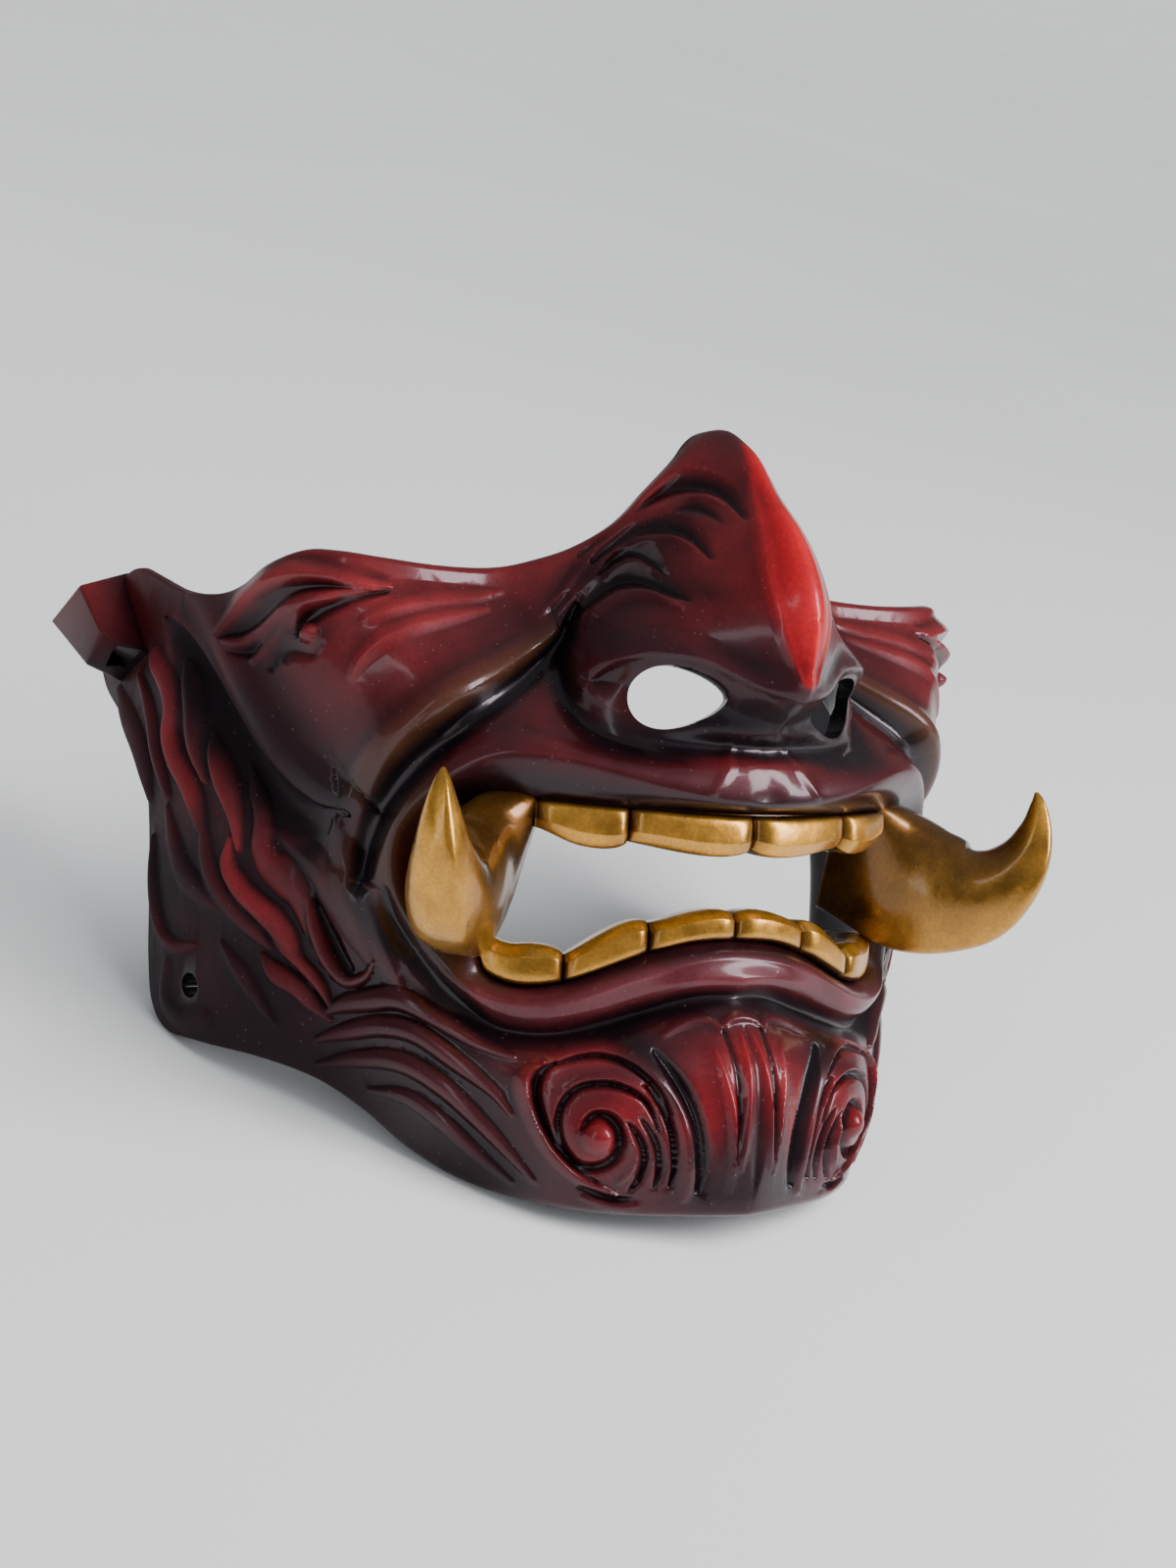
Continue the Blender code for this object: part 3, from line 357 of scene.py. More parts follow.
    ("cut", 1.8, 0, [(12.6, 20.4, 0.8), (10.4, 17.4, 1.4), (8.6, 14, 1.4), (7.4, 10.5, 1.3),
     (6.9, 7, 1.2), (7, 3.6, 0.7)]),
    ("cut", 0.7, 0, [(0, 23.4, 0.5), (0, 20, 0.8), (0, 14, 1.3), (0, 9, 1.5), (0, 5.6, 1),
     (0, 3.4, 0.3)]),
    ("crest", 0.7, 0, [(0.9, 22.6, 0.4), (1.3, 18, 0.6), (1.7, 13, 0.7), (2, 8.6, 0.7),
     (2.2, 6, 0.4)]),
    ("cut", 0.8, 0, [(3, 23.2, 0.5), (2.7, 19, 0.7), (2.6, 14, 0.7), (2.7, 9.5, 0.6),
     (2.9, 7, 0.3)]),
    ("crest", 0.9, 0, [(5, 20.5, 0.5), (4.4, 17, 0.9), (3.6, 13, 1), (3.1, 8.6, 0.9),
     (3, 5.4, 0.5)]),
    ("crest", 0.8, 0, [(11.5, 22.4, 0.5), (8.6, 23.8, 0.9), (6.4, 24.4, 1), (4.4, 24.2, 0.8),
     (3.4, 23.2, 0.5)]),
    ("crest", 0.8, 0, [(3.2, 23.4, 0.4), (1.9, 24.4, 0.8), (0, 24.7, 0.8), (-1.9, 24.4, 0.8)]),
]

COLOURS = {
    "maroon": (0.03, 0.0035, 0.005), "red": (0.105, 0.0085, 0.01),
    "vivid": (0.29, 0.0045, 0.0075), "black": (0.0018, 0.0012, 0.002),
    "brown": (0.028, 0.0125, 0.005), "plum": (0.08, 0.014, 0.018),
}
# Airbrush, in order: colour, strength, its course as azimuth, up and width, and last, where
# its border is crisp, how crisp
SPRAYS = [
    # Red on what stands out: partly the mask's red paint, partly painted light on the raised parts
    # and the top edge
    ("red", 0.95, [(8, 98, 9), (22, 86.5, 6), (34, 80.5, 7), (46, 78, 9), (58, 79, 8),
     (68, 76, 6)]),
    ("red", 0.75, [(40, 74, 8), (47, 70, 12), (53, 66, 12)]),
    ("red", 0.55, [(4, 88, 10), (7, 79, 10), (10, 74, 6)]),
    # Painted light: vivid red down the nose's front, as on a lit face
    ("vivid", 0.75, [(0, 97, 1.2), (0, 92, 2.9), (0, 84.6, 5.1), (0, 78.8, 5.9), (0, 74.6, 5.2),
     (0, 70.6, 3.7), (0, 67, 1.6)], 6),
    ("vivid", 0.6, [(0, 86, 3), (0, 78, 6), (0, 72, 4)]),
    ("red", 0.5, [(0, 58, 6), (14, 59, 5), (26, 60.5, 6)]),
    ("plum", 0.9, [(0, 30.8, 4.6), (14, 28.6, 4.6), (27, 25, 4.4), (38, 26.4, 3.5)]),
    ("vivid", 0.3, [(0, 20, 5), (5, 16, 7), (8, 12, 5)]),
    ("vivid", 0.22, [(21, 10, 6), (15, 15, 4)]),
    ("red", 0.6, [(30, 16, 4), (25, 19.6, 4), (20, 20.4, 3)]),
    ("red", 0.7, [(104, 76, 9), (100, 72, 8)]),
    ("red", 0.8, [(90, 66, 5), (86, 58, 4.5), (80, 50, 5)]),
    ("red", 0.8, [(74, 53, 4), (71.5, 47, 4), (72, 41, 4), (67, 36, 4)]),
    ("red", 0.5, [(67, 47, 3), (66, 42, 4), (60, 27, 4), (64, 28, 4)]),
    # Brown gold on the smile fold and round the mouth
    ("brown", 0.8, [(27, 72.5, 2), (32, 68.5, 3.6), (40, 62.5, 4.2), (48, 55, 4.6), (54, 50, 3)]),
    ("brown", 0.7, [(44, 52, 3), (49, 44, 3.6), (47, 36, 3.6), (41, 31, 3), (33, 28, 2)]),
    ("brown", 0.5, [(56, 44, 4), (53, 36, 4)]),
    # Black in what lies deep: the mask's black airbrush, with painted shade in the hollows
    ("black", 0.97, [(24, 74.5, 0.8), (28.6, 68.4, 1.8), (36, 62.2, 2.4), (44, 55.4, 3),
     (50, 47.5, 3.4), (52.5, 40, 3), (50, 34, 2.4), (44, 29.6, 2), (36, 24.6, 2)]),
    ("black", 0.9, [(88, 70.5, 3), (80.5, 62.5, 4), (72, 54.6, 4.4), (63, 48, 6), (57, 47, 6),
     (60, 43.5, 4)]),
    ("black", 0.85, [(68, 61, 9), (61, 54, 9), (55, 50, 5)]),
    ("black", 0.9, [(24.6, 74, 2.6), (26, 67, 4), (24, 60.6, 4.4), (18, 57.6, 3), (10, 58, 3)]),
    ("black", 0.9, [(20, 60, 4), (12, 59.6, 3.6), (4, 61, 3.6), (0, 60.6, 3.4)]),
    ("black", 0.85, [(12, 64.4, 8)]),
    # Painted shade round the nose's wrinkles
    ("black", 0.65, [(22, 80, 6), (17, 82.5, 6), (12, 85.5, 4), (8, 89, 3)]),
    ("black", 0.6, [(14, 79, 4), (9, 77.6, 2)]),
    # Painted shade under the tip of the nose
    ("black", 0.85, [(4, 63.4, 3.4), (9, 61.2, 3.4), (0, 62.6, 3)]),
    ("black", 0.55, [(20, 71, 5), (12, 69.6, 2.4)]),
    ("black", 0.55, [(9, 70.5, 2.6), (4, 67, 2.6), (0, 64, 2.4)]),
    ("black", 0.85, [(0, 51, 2.4), (12, 51.2, 2.4), (24, 52.6, 3), (34, 53, 3.4), (41, 50.6, 3)]),
    ("black", 0.8, [(0, 33.4, 1.4), (12, 32, 1.4), (24, 28.8, 1.6), (34, 29, 1.6)]),
    ("black", 0.85, [(0, 26.4, 1.8), (10, 25.2, 2), (20, 22.4, 2.2), (32, 21.4, 2.4),
     (42, 26, 2.4)]),
    # Painted shade beside the chin's lobe
    ("black", 0.9, [(19, 23.2, 2), (15.2, 21.8, 3.6), (12.2, 18.8, 3.6), (9.8, 15.4, 2.8),
     (8.6, 11.6, 1.8), (7.9, 7, 1.6)]),
    ("black", 0.85, [(0, 4, 8), (6, 3, 5)]),
    ("black", 0.85, [(30, 3, 5), (40, 5, 7), (52, 11, 9), (66, 18, 9), (80, 20, 11), (92, 26, 9)]),
    ("black", 0.9, [(96, 30, 12), (95, 42, 10), (90, 40, 8), (86, 38, 8)]),
    ("black", 0.8, [(97, 50, 7), (103, 56, 6), (110, 62, 6)]),
    ("black", 0.6, [(80, 40, 8), (74, 30, 8), (66, 22, 7)]),
]

# Where the varnish turns matte. Sides: up, then the azimuth there; underside: its top, then its
# start, each with a fade; base of the nose: azimuth, up and their spreads
MATTE_SIDE = ((0, 20, 36, 47, 60, 70, 80), (34, 46, 51, 50, 49, 56, 64))
MATTE_FADE = 16
MATTE_UNDER = (14, 12, 26, 10)
MATTE_NOSE = (5, 62, 8, 2.6)
MATTE_SHARE, MATTE_NOSE_SHARE = 0.95, 0.8


def smooth_table(table, places):
    """Read a table's columns at the given places of its first column, smoothly."""
    rows = np.array(table, dtype=float)
    keys = rows[:, 0]
    slopes = np.gradient(rows[:, 1:], keys, axis=0)
    places = np.clip(places, keys[0], keys[-1])
    cell = np.clip(np.searchsorted(keys, places) - 1, 0, len(keys) - 2)
    span = (keys[cell + 1] - keys[cell])[..., None]
    s = ((places - keys[cell])[..., None]) / span
    low, high = rows[cell, 1:], rows[cell + 1, 1:]
    rise_low, rise_high = slopes[cell] * span, slopes[cell + 1] * span
    blend = s * s * (3 - 2 * s)
    ease_low, ease_high = s * (1 - s) ** 2, -s * s * (1 - s)
    return low + (high - low) * blend + rise_low * ease_low + rise_high * ease_high


def smooth_path(points, steps, closed=False):
    """A smooth curve through the points, with a number of steps between each pair."""
    points = np.array(points, dtype=float)
    if closed:
        padded = np.vstack([points[-1:], points, points[:2]])
    else:
        padded = np.vstack([2 * points[:1] - points[1:2], points, 2 * points[-1:] - points[-2:-1]])
    s = np.linspace(0, 1, steps, endpoint=False)[:, None]
    out = []
    for k in range(1, len(padded) - 2):
        a, b, c, d = padded[k - 1:k + 3]
        out.append(0.5 * (2 * b + (c - a) * s + (2 * a - 5 * b + 4 * c - d) * s ** 2
                          + (3 * b - a - 3 * c + d) * s ** 3))
    if not closed:
        out.append(points[-1:])
    return np.vstack(out)


def half_loop(table):
    """A closed outline's half from top to bottom, smooth where it meets its mirror image."""
    half = np.array(table, dtype=float)
    other = half[-2:0:-1].copy()
    other[:, 0] *= -1
    loop = smooth_path(np.vstack([half, other]), LOOP_STEPS, closed=True)
    return loop[:(len(half) - 1) * LOOP_STEPS + 1]


def along(curve, shares):
    """Points of a curve at shares of its length on the chart."""
    flat = curve[:, :2] * (across_of(1.0), up_of(1.0))
    length = np.concatenate([[0], np.cumsum(np.linalg.norm(np.diff(flat, axis=0), axis=1))])
    return np.column_stack([np.interp(shares * length[-1], length, curve[:, k])
                            for k in range(curve.shape[1])])


def across_of(degrees):
    return np.radians(degrees) * HALF_WIDTH


def up_of(hundredths):
    return hundredths * FACE_HEIGHT / 100


def ease(s):
    s = np.clip(s, 0, 1)
    return s * s * (3 - 2 * s)


def place(azimuth, up, relief):
    """The point in space for a place on the chart and its relief."""
    turn = np.radians(np.clip(azimuth, -90, 90))
    past = across_of(np.abs(azimuth) - np.abs(np.clip(azimuth, -90, 90)))
    x = (HALF_WIDTH + relief) * np.sin(turn)
    y = -(FACE_DEPTH + relief) * np.cos(turn) + past
    return np.stack([x, y, up_of(up) + 0 * x], axis=-1)


def nose(azimuth, up):
    side, ridge, width = np.moveaxis(smooth_table(NOSE, up), -1, 0)
    out = np.abs(azimuth) / width
    sharp = np.hypot(out, NOSE_RIDGE_ROUND) - NOSE_RIDGE_ROUND
    flank = np.clip(1 - sharp, 0, 1) ** NOSE_SHARPNESS
    near = np.interp(up, *NOSE_SIDE_START)
    fade = 1 - ease((np.abs(azimuth) - near) / NOSE_SIDE_FADE)
    return RELIEF * side * fade + NOSE_REACH * ridge * flank


def forms(azimuth, up):
    total = np.zeros_like(azimuth)
    for at, level, wide, tall, turn, rise in FORMS:
        across = np.radians(np.abs(azimuth) - at) * HALF_WIDTH
        rising = up_of(up - level)
        angle = math.radians(turn)
        major = (across * math.cos(angle) + rising * math.sin(angle)) / across_of(wide)
        minor = (rising * math.cos(angle) - across * math.sin(angle)) / up_of(tall)
        total += RELIEF * rise * np.exp(-(major ** 2 + minor ** 2))
    return total


def near_course(azimuth, up, course, reach):
    """Where the course matters: flat indices, distance from it signed by side, columns there."""
    line = smooth_path(course, COURSE_STEPS) if len(course) > 1 else np.array(course * 2, float)
    scale = np.array((across_of(1.0), up_of(1.0))) / MM
    flat = line[:, :2] * scale
    spot = np.stack([azimuth.ravel(), up.ravel()], axis=-1) * scale
    low, high = flat.min(axis=0) - reach, flat.max(axis=0) + reach
    picked = np.nonzero(((spot > low) & (spot < high)).all(axis=1))[0]
    spot = spot[picked][:, None, :]
    start, run = flat[:-1], np.diff(flat, axis=0)
    length = np.maximum((run ** 2).sum(-1), 1e-9)
    share = np.clip(((spot - start) * run).sum(-1) / length, 0, 1)
    off = spot - start - share[..., None] * run
    away = np.linalg.norm(off, axis=-1)
    nearest = away.argmin(-1)
    rows = np.arange(len(picked))
    away, share, off = away[rows, nearest], share[rows, nearest], off[rows, nearest]
    run = run[nearest]
    side = np.sign(run[:, 0] * off[:, 1] - run[:, 1] * off[:, 0])
    columns = line[nearest, 2:] + (line[nearest + 1, 2:] - line[nearest, 2:]) * share[:, None]
    return picked, away * np.where(side == 0, 1, side), columns


def section(kind, t, skew):
    """Height over a stroke's section, from 1 on its crest to 0 at its borders."""
    out = np.where(t > skew, (t - skew) / (1 - skew), (skew - t) / (1 + skew))
    out = np.clip(out, 0, 1)
    if kind in ("strand", "dome"):
        return 1 - out ** 2
    if kind == "soft":
        return (1 - out ** 2) ** 2
    power, shoulder = CREST_SECTION if kind == "crest" else CUT_SECTION
    return (1 - out) ** power * (1 + shoulder * out)


def carving(azimuth, up):
    """Depth of the carving, in millimetres, over a grid of places."""
    added = np.zeros(azimuth.size)
    hair = np.zeros(azimuth.size)
    for kind, height, skew, course in STROKES:
        widest = max(row[2] for row in course)
        reach = widest * (STROKE_REACH if kind != "strand" else STRAND_REACH)
        picked, away, columns = near_course(azimuth, up, course, reach)
        width = np.maximum(columns[:, 0], LEAST_WIDTH)
        spread = STROKE_SPREAD if kind in ("soft", "crest", "cut") else 1.0
        rise = height * section(kind, away / (width * spread), skew)
        rise = rise * (width / widest) ** THINNING
        if kind == "strand":
            hair[picked] = np.maximum(hair[picked], rise)
        else:
            added[picked] += -rise if kind == "cut" else rise
    return (added + hair).reshape(azimuth.shape)


def fold(azimuth, up, course, wide):
    """How strongly a place lies on a fold's course, from 0 to 1, thinner at its ends."""
    rows = [(a, b, k) for k, (a, b) in enumerate(course)]
    width = wide * FOLD_WIDTH / MM
    picked, away, columns = near_course(azimuth, up, rows, 3 * width)
    ends = np.sin(np.pi * np.clip(columns[:, 0] / (len(rows) - 1), 0, 1)) ** 0.5
    total = np.zeros(azimuth.size)
    total[picked] = ends * np.exp(-(away / width) ** 2)
    return total.reshape(azimuth.shape)


def nostril_share(azimuth, up):
    """Distance from the nostril's middle, with 1 at its edge."""
    across = across_of(np.abs(azimuth) - NOSTRIL_AT[0]) / (NOSTRIL_WIDE / 2)
    rising = up_of(up - NOSTRIL_AT[1]) / (NOSTRIL_TALL / 2)
    return np.hypot(across, rising)


def face_relief(azimuth, up, fine):
    """Relief outside the lips; fine adds the folds and the rolled rims of the nostrils."""
    total = nose(azimuth, up) + forms(azimuth, up)
    if fine:
        for wide, rise, course in FOLDS:
            total += RELIEF * rise * fold(azimuth, up, course, wide)
        inside, outside = NOSTRIL_ROLL
        roll = np.clip((outside - nostril_share(azimuth, up)) / (outside - inside), 0, 1)
        total -= NOSTRIL_SINK * (1 - np.sqrt(1 - roll ** 2))
    return total


def slope_factor(azimuth, up):
    """How much farther in the inner surface lies where the face is steep."""
    turn = SLOPE_STEP / across_of(1.0)
    climb = SLOPE_STEP / up_of(1.0)
    across = face_relief(azimuth + turn, up, False) - face_relief(azimuth - turn, up, False)
    rising = face_relief(azimuth, up + climb, False) - face_relief(azimuth, up - climb, False)
    steep = np.hypot(across, rising) / (2 * SLOPE_STEP)
    return np.sqrt(1 + np.minimum(steep, STEEPEST) ** 2)


def spokes():
    """Rim, crest and edge points for each spoke of the half on the wearer's left."""
    spread = smooth_table(SPREAD, np.linspace(0, 1, HALF_SPOKES + 1))
    return [along(half_loop(table), spread[:, k]) for k, table in enumerate((RIM, CREST, EDGE))]


def chart_rings(inner):
    """Of each ring from rim to edge: azimuth, up, plain relief, share across the lip, distance
    to the edge."""
    rim, crest, edge = spokes()
    rim_relief = RELIEF * rim[:, 2]
    crest_relief = RELIEF * crest[:, 2]
    azimuth, up, relief, from_rim = [], [], [], []
    for k in range(LIP_RINGS):
        s = k / LIP_RINGS
        spot = rim[:, :2] + (crest[:, :2] - rim[:, :2]) * s
        rolled = rim_relief + (crest_relief - rim_relief) * math.sin(s * math.pi / 2)
        if inner:
            behind = crest_relief - CREST_WALL
            rolled = rim_relief - LIP_WALL + (behind - rim_relief + LIP_WALL) * ease(s)
        azimuth.append(spot[:, 0])
        up.append(spot[:, 1])
        relief.append(rolled)
        from_rim.append(np.full(len(spot), s))
    for k in range(FACE_RINGS + 1):
        s = k / FACE_RINGS
        s = s + RING_CROWDING * s * (s - 1)
        spot = crest[:, :2] + (edge - crest[:, :2]) * s
        azimuth.append(spot[:, 0])
        up.append(spot[:, 1])
        relief.append(np.full(len(spot), np.nan))
        from_rim.append(np.full(len(spot), 1.0))
    azimuth, up, relief, from_rim = (np.array(v) for v in (azimuth, up, relief, from_rim))
    face = azimuth[LIP_RINGS:], up[LIP_RINGS:]
    lift = crest_relief - face_relief(crest[:, 0], crest[:, 1], not inner)
    away = np.hypot(across_of(face[0] - crest[:, 0]), up_of(face[1] - crest[:, 1]))
    plain = face_relief(*face, not inner) + lift * (1 - ease(away / LIP_WIDTH))
    if inner:
        thick = WALL * slope_factor(*face)
        plain = plain - thick - (CREST_WALL - thick) * (1 - ease(away / LIP_WIDTH))
    relief[LIP_RINGS:] = plain
    to_edge = np.full(azimuth.shape, 1.0)
    to_edge[LIP_RINGS:] = np.hypot(across_of(edge[:, 0] - face[0]), up_of(edge[:, 1] - face[1]))
    return azimuth, up, relief, from_rim, to_edge


def blurred(field, passes):
    """The field smoothed over its grid, mirrored at its sides."""
    out = field
    for _ in range(passes):
        padded = np.pad(out, 1, mode="reflect")
        out = (padded[:-2, 1:-1] + 2 * padded[1:-1, 1:-1] + padded[2:, 1:-1]) / 4
        padded = np.pad(out, 1, mode="reflect")
        out = (padded[1:-1, :-2] + 2 * padded[1:-1, 1:-1] + padded[1:-1, 2:]) / 4
    return out


def lowest_near(field, passes):
    """The lowest value of the field near each place."""
    for _ in range(passes):
        padded = np.pad(field, 1, mode="edge")
        field = np.minimum.reduce([padded[:-2, 1:-1], padded[2:, 1:-1], padded[1:-1, 1:-1],
                                   padded[1:-1, :-2], padded[1:-1, 2:]])
    return field


def sprayed(azimuth, up, colour):
    """Airbrush colour over a flat list of places."""
    for name, strength, course, *edge in SPRAYS:
        widest = max(row[2] for row in course)
        picked, away, columns = near_course(azimuth, up, course, SPRAY_REACH * widest)
        out = np.abs(away) / np.maximum(columns[:, 0], 2 * LEAST_WIDTH)
        cover = strength * np.exp(-out ** (edge[0] if edge else 2))
        colour[picked] += (np.array(COLOURS[name]) - colour[picked]) * cover[:, None]
    return colour


def painted(azimuth, up, cavity, broad):
    """The lacquer's colour: airbrushed; dark in the carving, partly the black airbrush and partly
    painted shade; brighter on its crests, a painted highlight.
    """
    colour = np.tile(np.array(COLOURS["maroon"]), (azimuth.size, 1))
    colour = sprayed(azimuth, up, colour)
    # Painted shade: darker where the carving and the broader relief lie low, partly the mask's
    # black airbrush
    deep = np.clip(-cavity.ravel() / CAVITY_FULL, 0, 1) ** CAVITY_CURVE
    wide = np.clip(-broad.ravel() / BROAD_FULL, 0, 1)
    dark = 1 - (1 - CAVITY_DARK * deep) * (1 - BROAD_DARK * wide)
    colour += (np.array(COLOURS["black"]) - colour) * dark[:, None]
    # Painted highlight: brighter on the carving's crests
    raised = np.clip(cavity.ravel() / CREST_FULL, 0, 1)[:, None]
    return colour * (1 + CREST_BRIGHT * raised)


def glossiness(azimuth, up):
    """Share of the varnish's gloss: full on the face, nearly matte on the dark sides."""
    out = np.abs(azimuth)
    side = ease((out - np.interp(up, *MATTE_SIDE)) / MATTE_FADE)
    top, top_fade, start, start_fade = MATTE_UNDER
    under = ease((top - up) / top_fade) * ease((out - start) / start_fade)
    at, level, wide, tall = MATTE_NOSE
    nose_base = np.exp(-((out - at) / wide) ** 2 - ((up - level) / tall) ** 2)
    return 1 - MATTE_SHARE * np.maximum(np.maximum(side, under), MATTE_NOSE_SHARE * nose_base)


def full_ring(half):
    """A ring all the way round, from the half of it on the wearer's left."""
    return np.vstack([half, half[-2:0:-1] * (-1, 1, 1)])


def link(ring, following):
    """Faces between two rings of vertices with equal counts."""
    count = len(ring)
    return [(ring[k], ring[(k + 1) % count], following[(k + 1) % count], following[k])
            for k in range(count)]


def link_halved(ring, following):
    """Faces between a ring and one with half as many vertices."""
    faces = []
    count = len(following)
    for k in range(count):
        a, b, c = ring[2 * k], ring[2 * k + 1], ring[(2 * k + 2) % len(ring)]
        p, q = following[k], following[(k + 1) % count]
        faces += [(a, b, p), (b, q, p), (b, c, q)]
    return faces


def new_mesh(name, verts, faces, colours=None):
    mesh = bpy.data.meshes.new(name)
    mesh.from_pydata(np.asarray(verts).tolist(), [], faces)
    if colours is not None:
        layer = mesh.attributes.new("paint", "FLOAT_COLOR", "POINT")
        rgba = np.ones((len(verts), 4))
        colours = np.asarray(colours)
        rgba[:, :colours.shape[-1]] = colours
        layer.data.foreach_set("color", rgba.ravel())
    body = bmesh.new()
    body.from_mesh(mesh)
    bmesh.ops.recalc_face_normals(body, faces=body.faces)
    body.to_mesh(mesh)
    body.free()
    mesh.shade_smooth()
    return mesh


def new_object(name, data, finish=None):
    item = bpy.data.objects.new(name, data)
    if finish:
        data.materials.append(finish)
    bpy.context.scene.collection.objects.link(item)
    return item


def skin_mesh():
    """The carved skin, its inner face and their rolled borders as one closed mesh."""
    azimuth, up, plain, from_rim, to_edge = chart_rings(False)
    hold = ease(from_rim * (1 + LIP_BARE) - LIP_BARE) * ease(to_edge / (2 * EDGE_ROUND))
    carved = carving(azimuth, up) * hold
    roll = np.clip(1 - to_edge / EDGE_ROUND, 0, 1)
    relief = plain + MM * carved - EDGE_ROUND * (1 - np.sqrt(1 - roll ** 2))
    inland = ease(to_edge / SHADE_BORDER)
    cavity = carved - blurred(carved, CAVITY_BLUR)
    cavity = cavity + inland * (plain - blurred(plain, CAVITY_BLUR)) / MM
    broad = inland * (relief - blurred(relief, BROAD_BLUR)) / MM
    cavity[:LIP_RINGS] = 0
    broad[:LIP_RINGS] = 0
    shade = np.column_stack([painted(azimuth, up, cavity, broad), glossiness(azimuth, up).ravel()])
    shade = shade.reshape(*azimuth.shape, 4)

    inner = chart_rings(True)[2]
    carved_back = blurred(lowest_near(plain + MM * carved, INNER_REACH), INNER_BLUR)
    carved_back = carved_back - THIN_WALL
    inner = np.minimum(inner, carved_back) + EDGE_ROUND * (1 - np.sqrt(1 - roll ** 2))
    picked = [*range(0, LIP_RINGS, LIP_RINGS // INNER_LIP_RINGS),
              *range(LIP_RINGS, len(inner), FACE_RINGS // INNER_FACE_RINGS)]
    outer_points = place(azimuth, up, relief)
    inner_points = place(azimuth, up, inner)[picked, ::2]

    rings, colours = [], []
    for points, shades in zip(outer_points, shade):
        rings.append(full_ring(points))
        colours.append(np.vstack([shades, shades[-2:0:-1]]))
    for points in inner_points[::-1]:
        rings.append(full_ring(points))
        dim = (*np.array(COLOURS["black"]) * INNER_SHADE, INNER_GLOSS)
        colours.append(np.tile(dim, (len(rings[-1]), 1)))
    starts = np.cumsum([0] + [len(ring) for ring in rings])
    faces = []
    for k in range(len(rings)):
        following = (k + 1) % len(rings)
        one = list(range(starts[k], starts[k] + len(rings[k])))
        two = list(range(starts[following], starts[following] + len(rings[following])))
        if len(one) == len(two):
            band = link(one, two)
            half = len(one) // 2
            faces += [face[1:] + face[:1] for face in band[:half]] + band[half:]
        elif len(one) > len(two):
            faces += link_halved(one, two)
        else:
            faces += [face[::-1] for face in link_halved(two, one)]
    return new_mesh("mask_skin", np.vstack(rings), faces, np.vstack(colours))


def tube(wide, tall, length, middle, aim, taper=0.0):
    """A cutter along an azimuth's direction; its oval section tapers to one end if asked."""
    aim = math.radians(aim)
    ahead = Vector((math.sin(aim), -math.cos(aim), 0))
    across = Vector((math.cos(aim), math.sin(aim), 0))
    turns = [2 * math.pi * j / CUTTER_SIDES for j in range(CUTTER_SIDES)]
    loops = []
    for end in (-0.5, 0.5):
        loop = []
        for turn in turns:
            height = math.sin(turn) * (1 + taper * math.cos(turn)) * tall / 2
            spot = Vector(middle) + ahead * (end * length) + Vector((0, 0, height))
            loop.append(tuple(spot + across * (math.cos(turn) * wide / 2)))
        loops.append(loop)
    return loft(loops)


def loft(loops, capped=True):
    """A solid through loops with equal counts of points."""
    count = len(loops[0])
    verts = [spot for loop in loops for spot in loop]
    faces = []
    for k in range(len(loops) - 1):
        ring = [k * count + j for j in range(count)]
        faces += link(ring, [(k + 1) * count + j for j in range(count)])
    if capped:
        faces.append(tuple(range(count)))
        faces.append(tuple(range((len(loops) - 1) * count, len(loops) * count)))
    return verts, faces


def cut_by(target, cutters, triangles=None):
    """Thin out the target's flatter faces, cut it and keep the result in its mesh."""
    if triangles:
        thin = target.modifiers.new("thinned", "DECIMATE")
        thin.ratio = triangles / (2 * len(target.data.polygons))
    for cutter in cutters:
        change = target.modifiers.new(cutter.name, "BOOLEAN")
        change.operation = "DIFFERENCE"
        change.solver = "EXACT"
        change.object = cutter
    ready = target.evaluated_get(bpy.context.evaluated_depsgraph_get())
    mesh = bpy.data.meshes.new_from_object(ready)
    target.modifiers.clear()
    target.data = mesh
    for cutter in cutters:
        bpy.data.objects.remove(cutter, do_unlink=True)

# Teeth: azimuth, up of the biting edge, relief of the furrow at each edge of a tooth
UPPER_TEETH = [(0, 44.7, -0.1), (17.2, 45.2, -0.24), (29.3, 45.9, -0.34)]
LOWER_TEETH = [(0, 38.5, -0.6), (12.9, 37.5, -0.7), (24.6, 33.3, -0.75), (37.6, 33.4, -0.98)]
TOOTH_STATIONS = 26
TOOTH_CROWDING = 0.11
TOOTH_SQUARE = 6
TOOTH_END_BULGE = 0.4
PROFILE_STEPS = 3

# Painted light and shade on a tooth's gold: share of the crown in painted shade at the gum, then
# where the biting edge takes a painted highlight and how fast, and the painted light on the crown
# in between
GUM_DARK, BITE_BRIGHT, BITE_FADE, CROWN_LIGHT = 0.16, 0.62, 0.1, 0.85

# A tooth's profile: share of the depth inward, share of the bulge, share of the crown
TOOTH_PROFILE = [
    (0, 0.42, 0), (0, 0.8, 0.07), (0, 0.96, 0.2), (0, 1, 0.45), (0, 0.99, 0.66), (0, 0.93, 0.72),
    (0, 0.55, 0.93), (0.02, 0.38, 0.985), (0.12, 0.2, 1), (0.42, 0.04, 0.97), (0.75, 0, 0.82),
    (1, 0, 0.5), (1, 0, 0), (1, 0, -0.45),
]

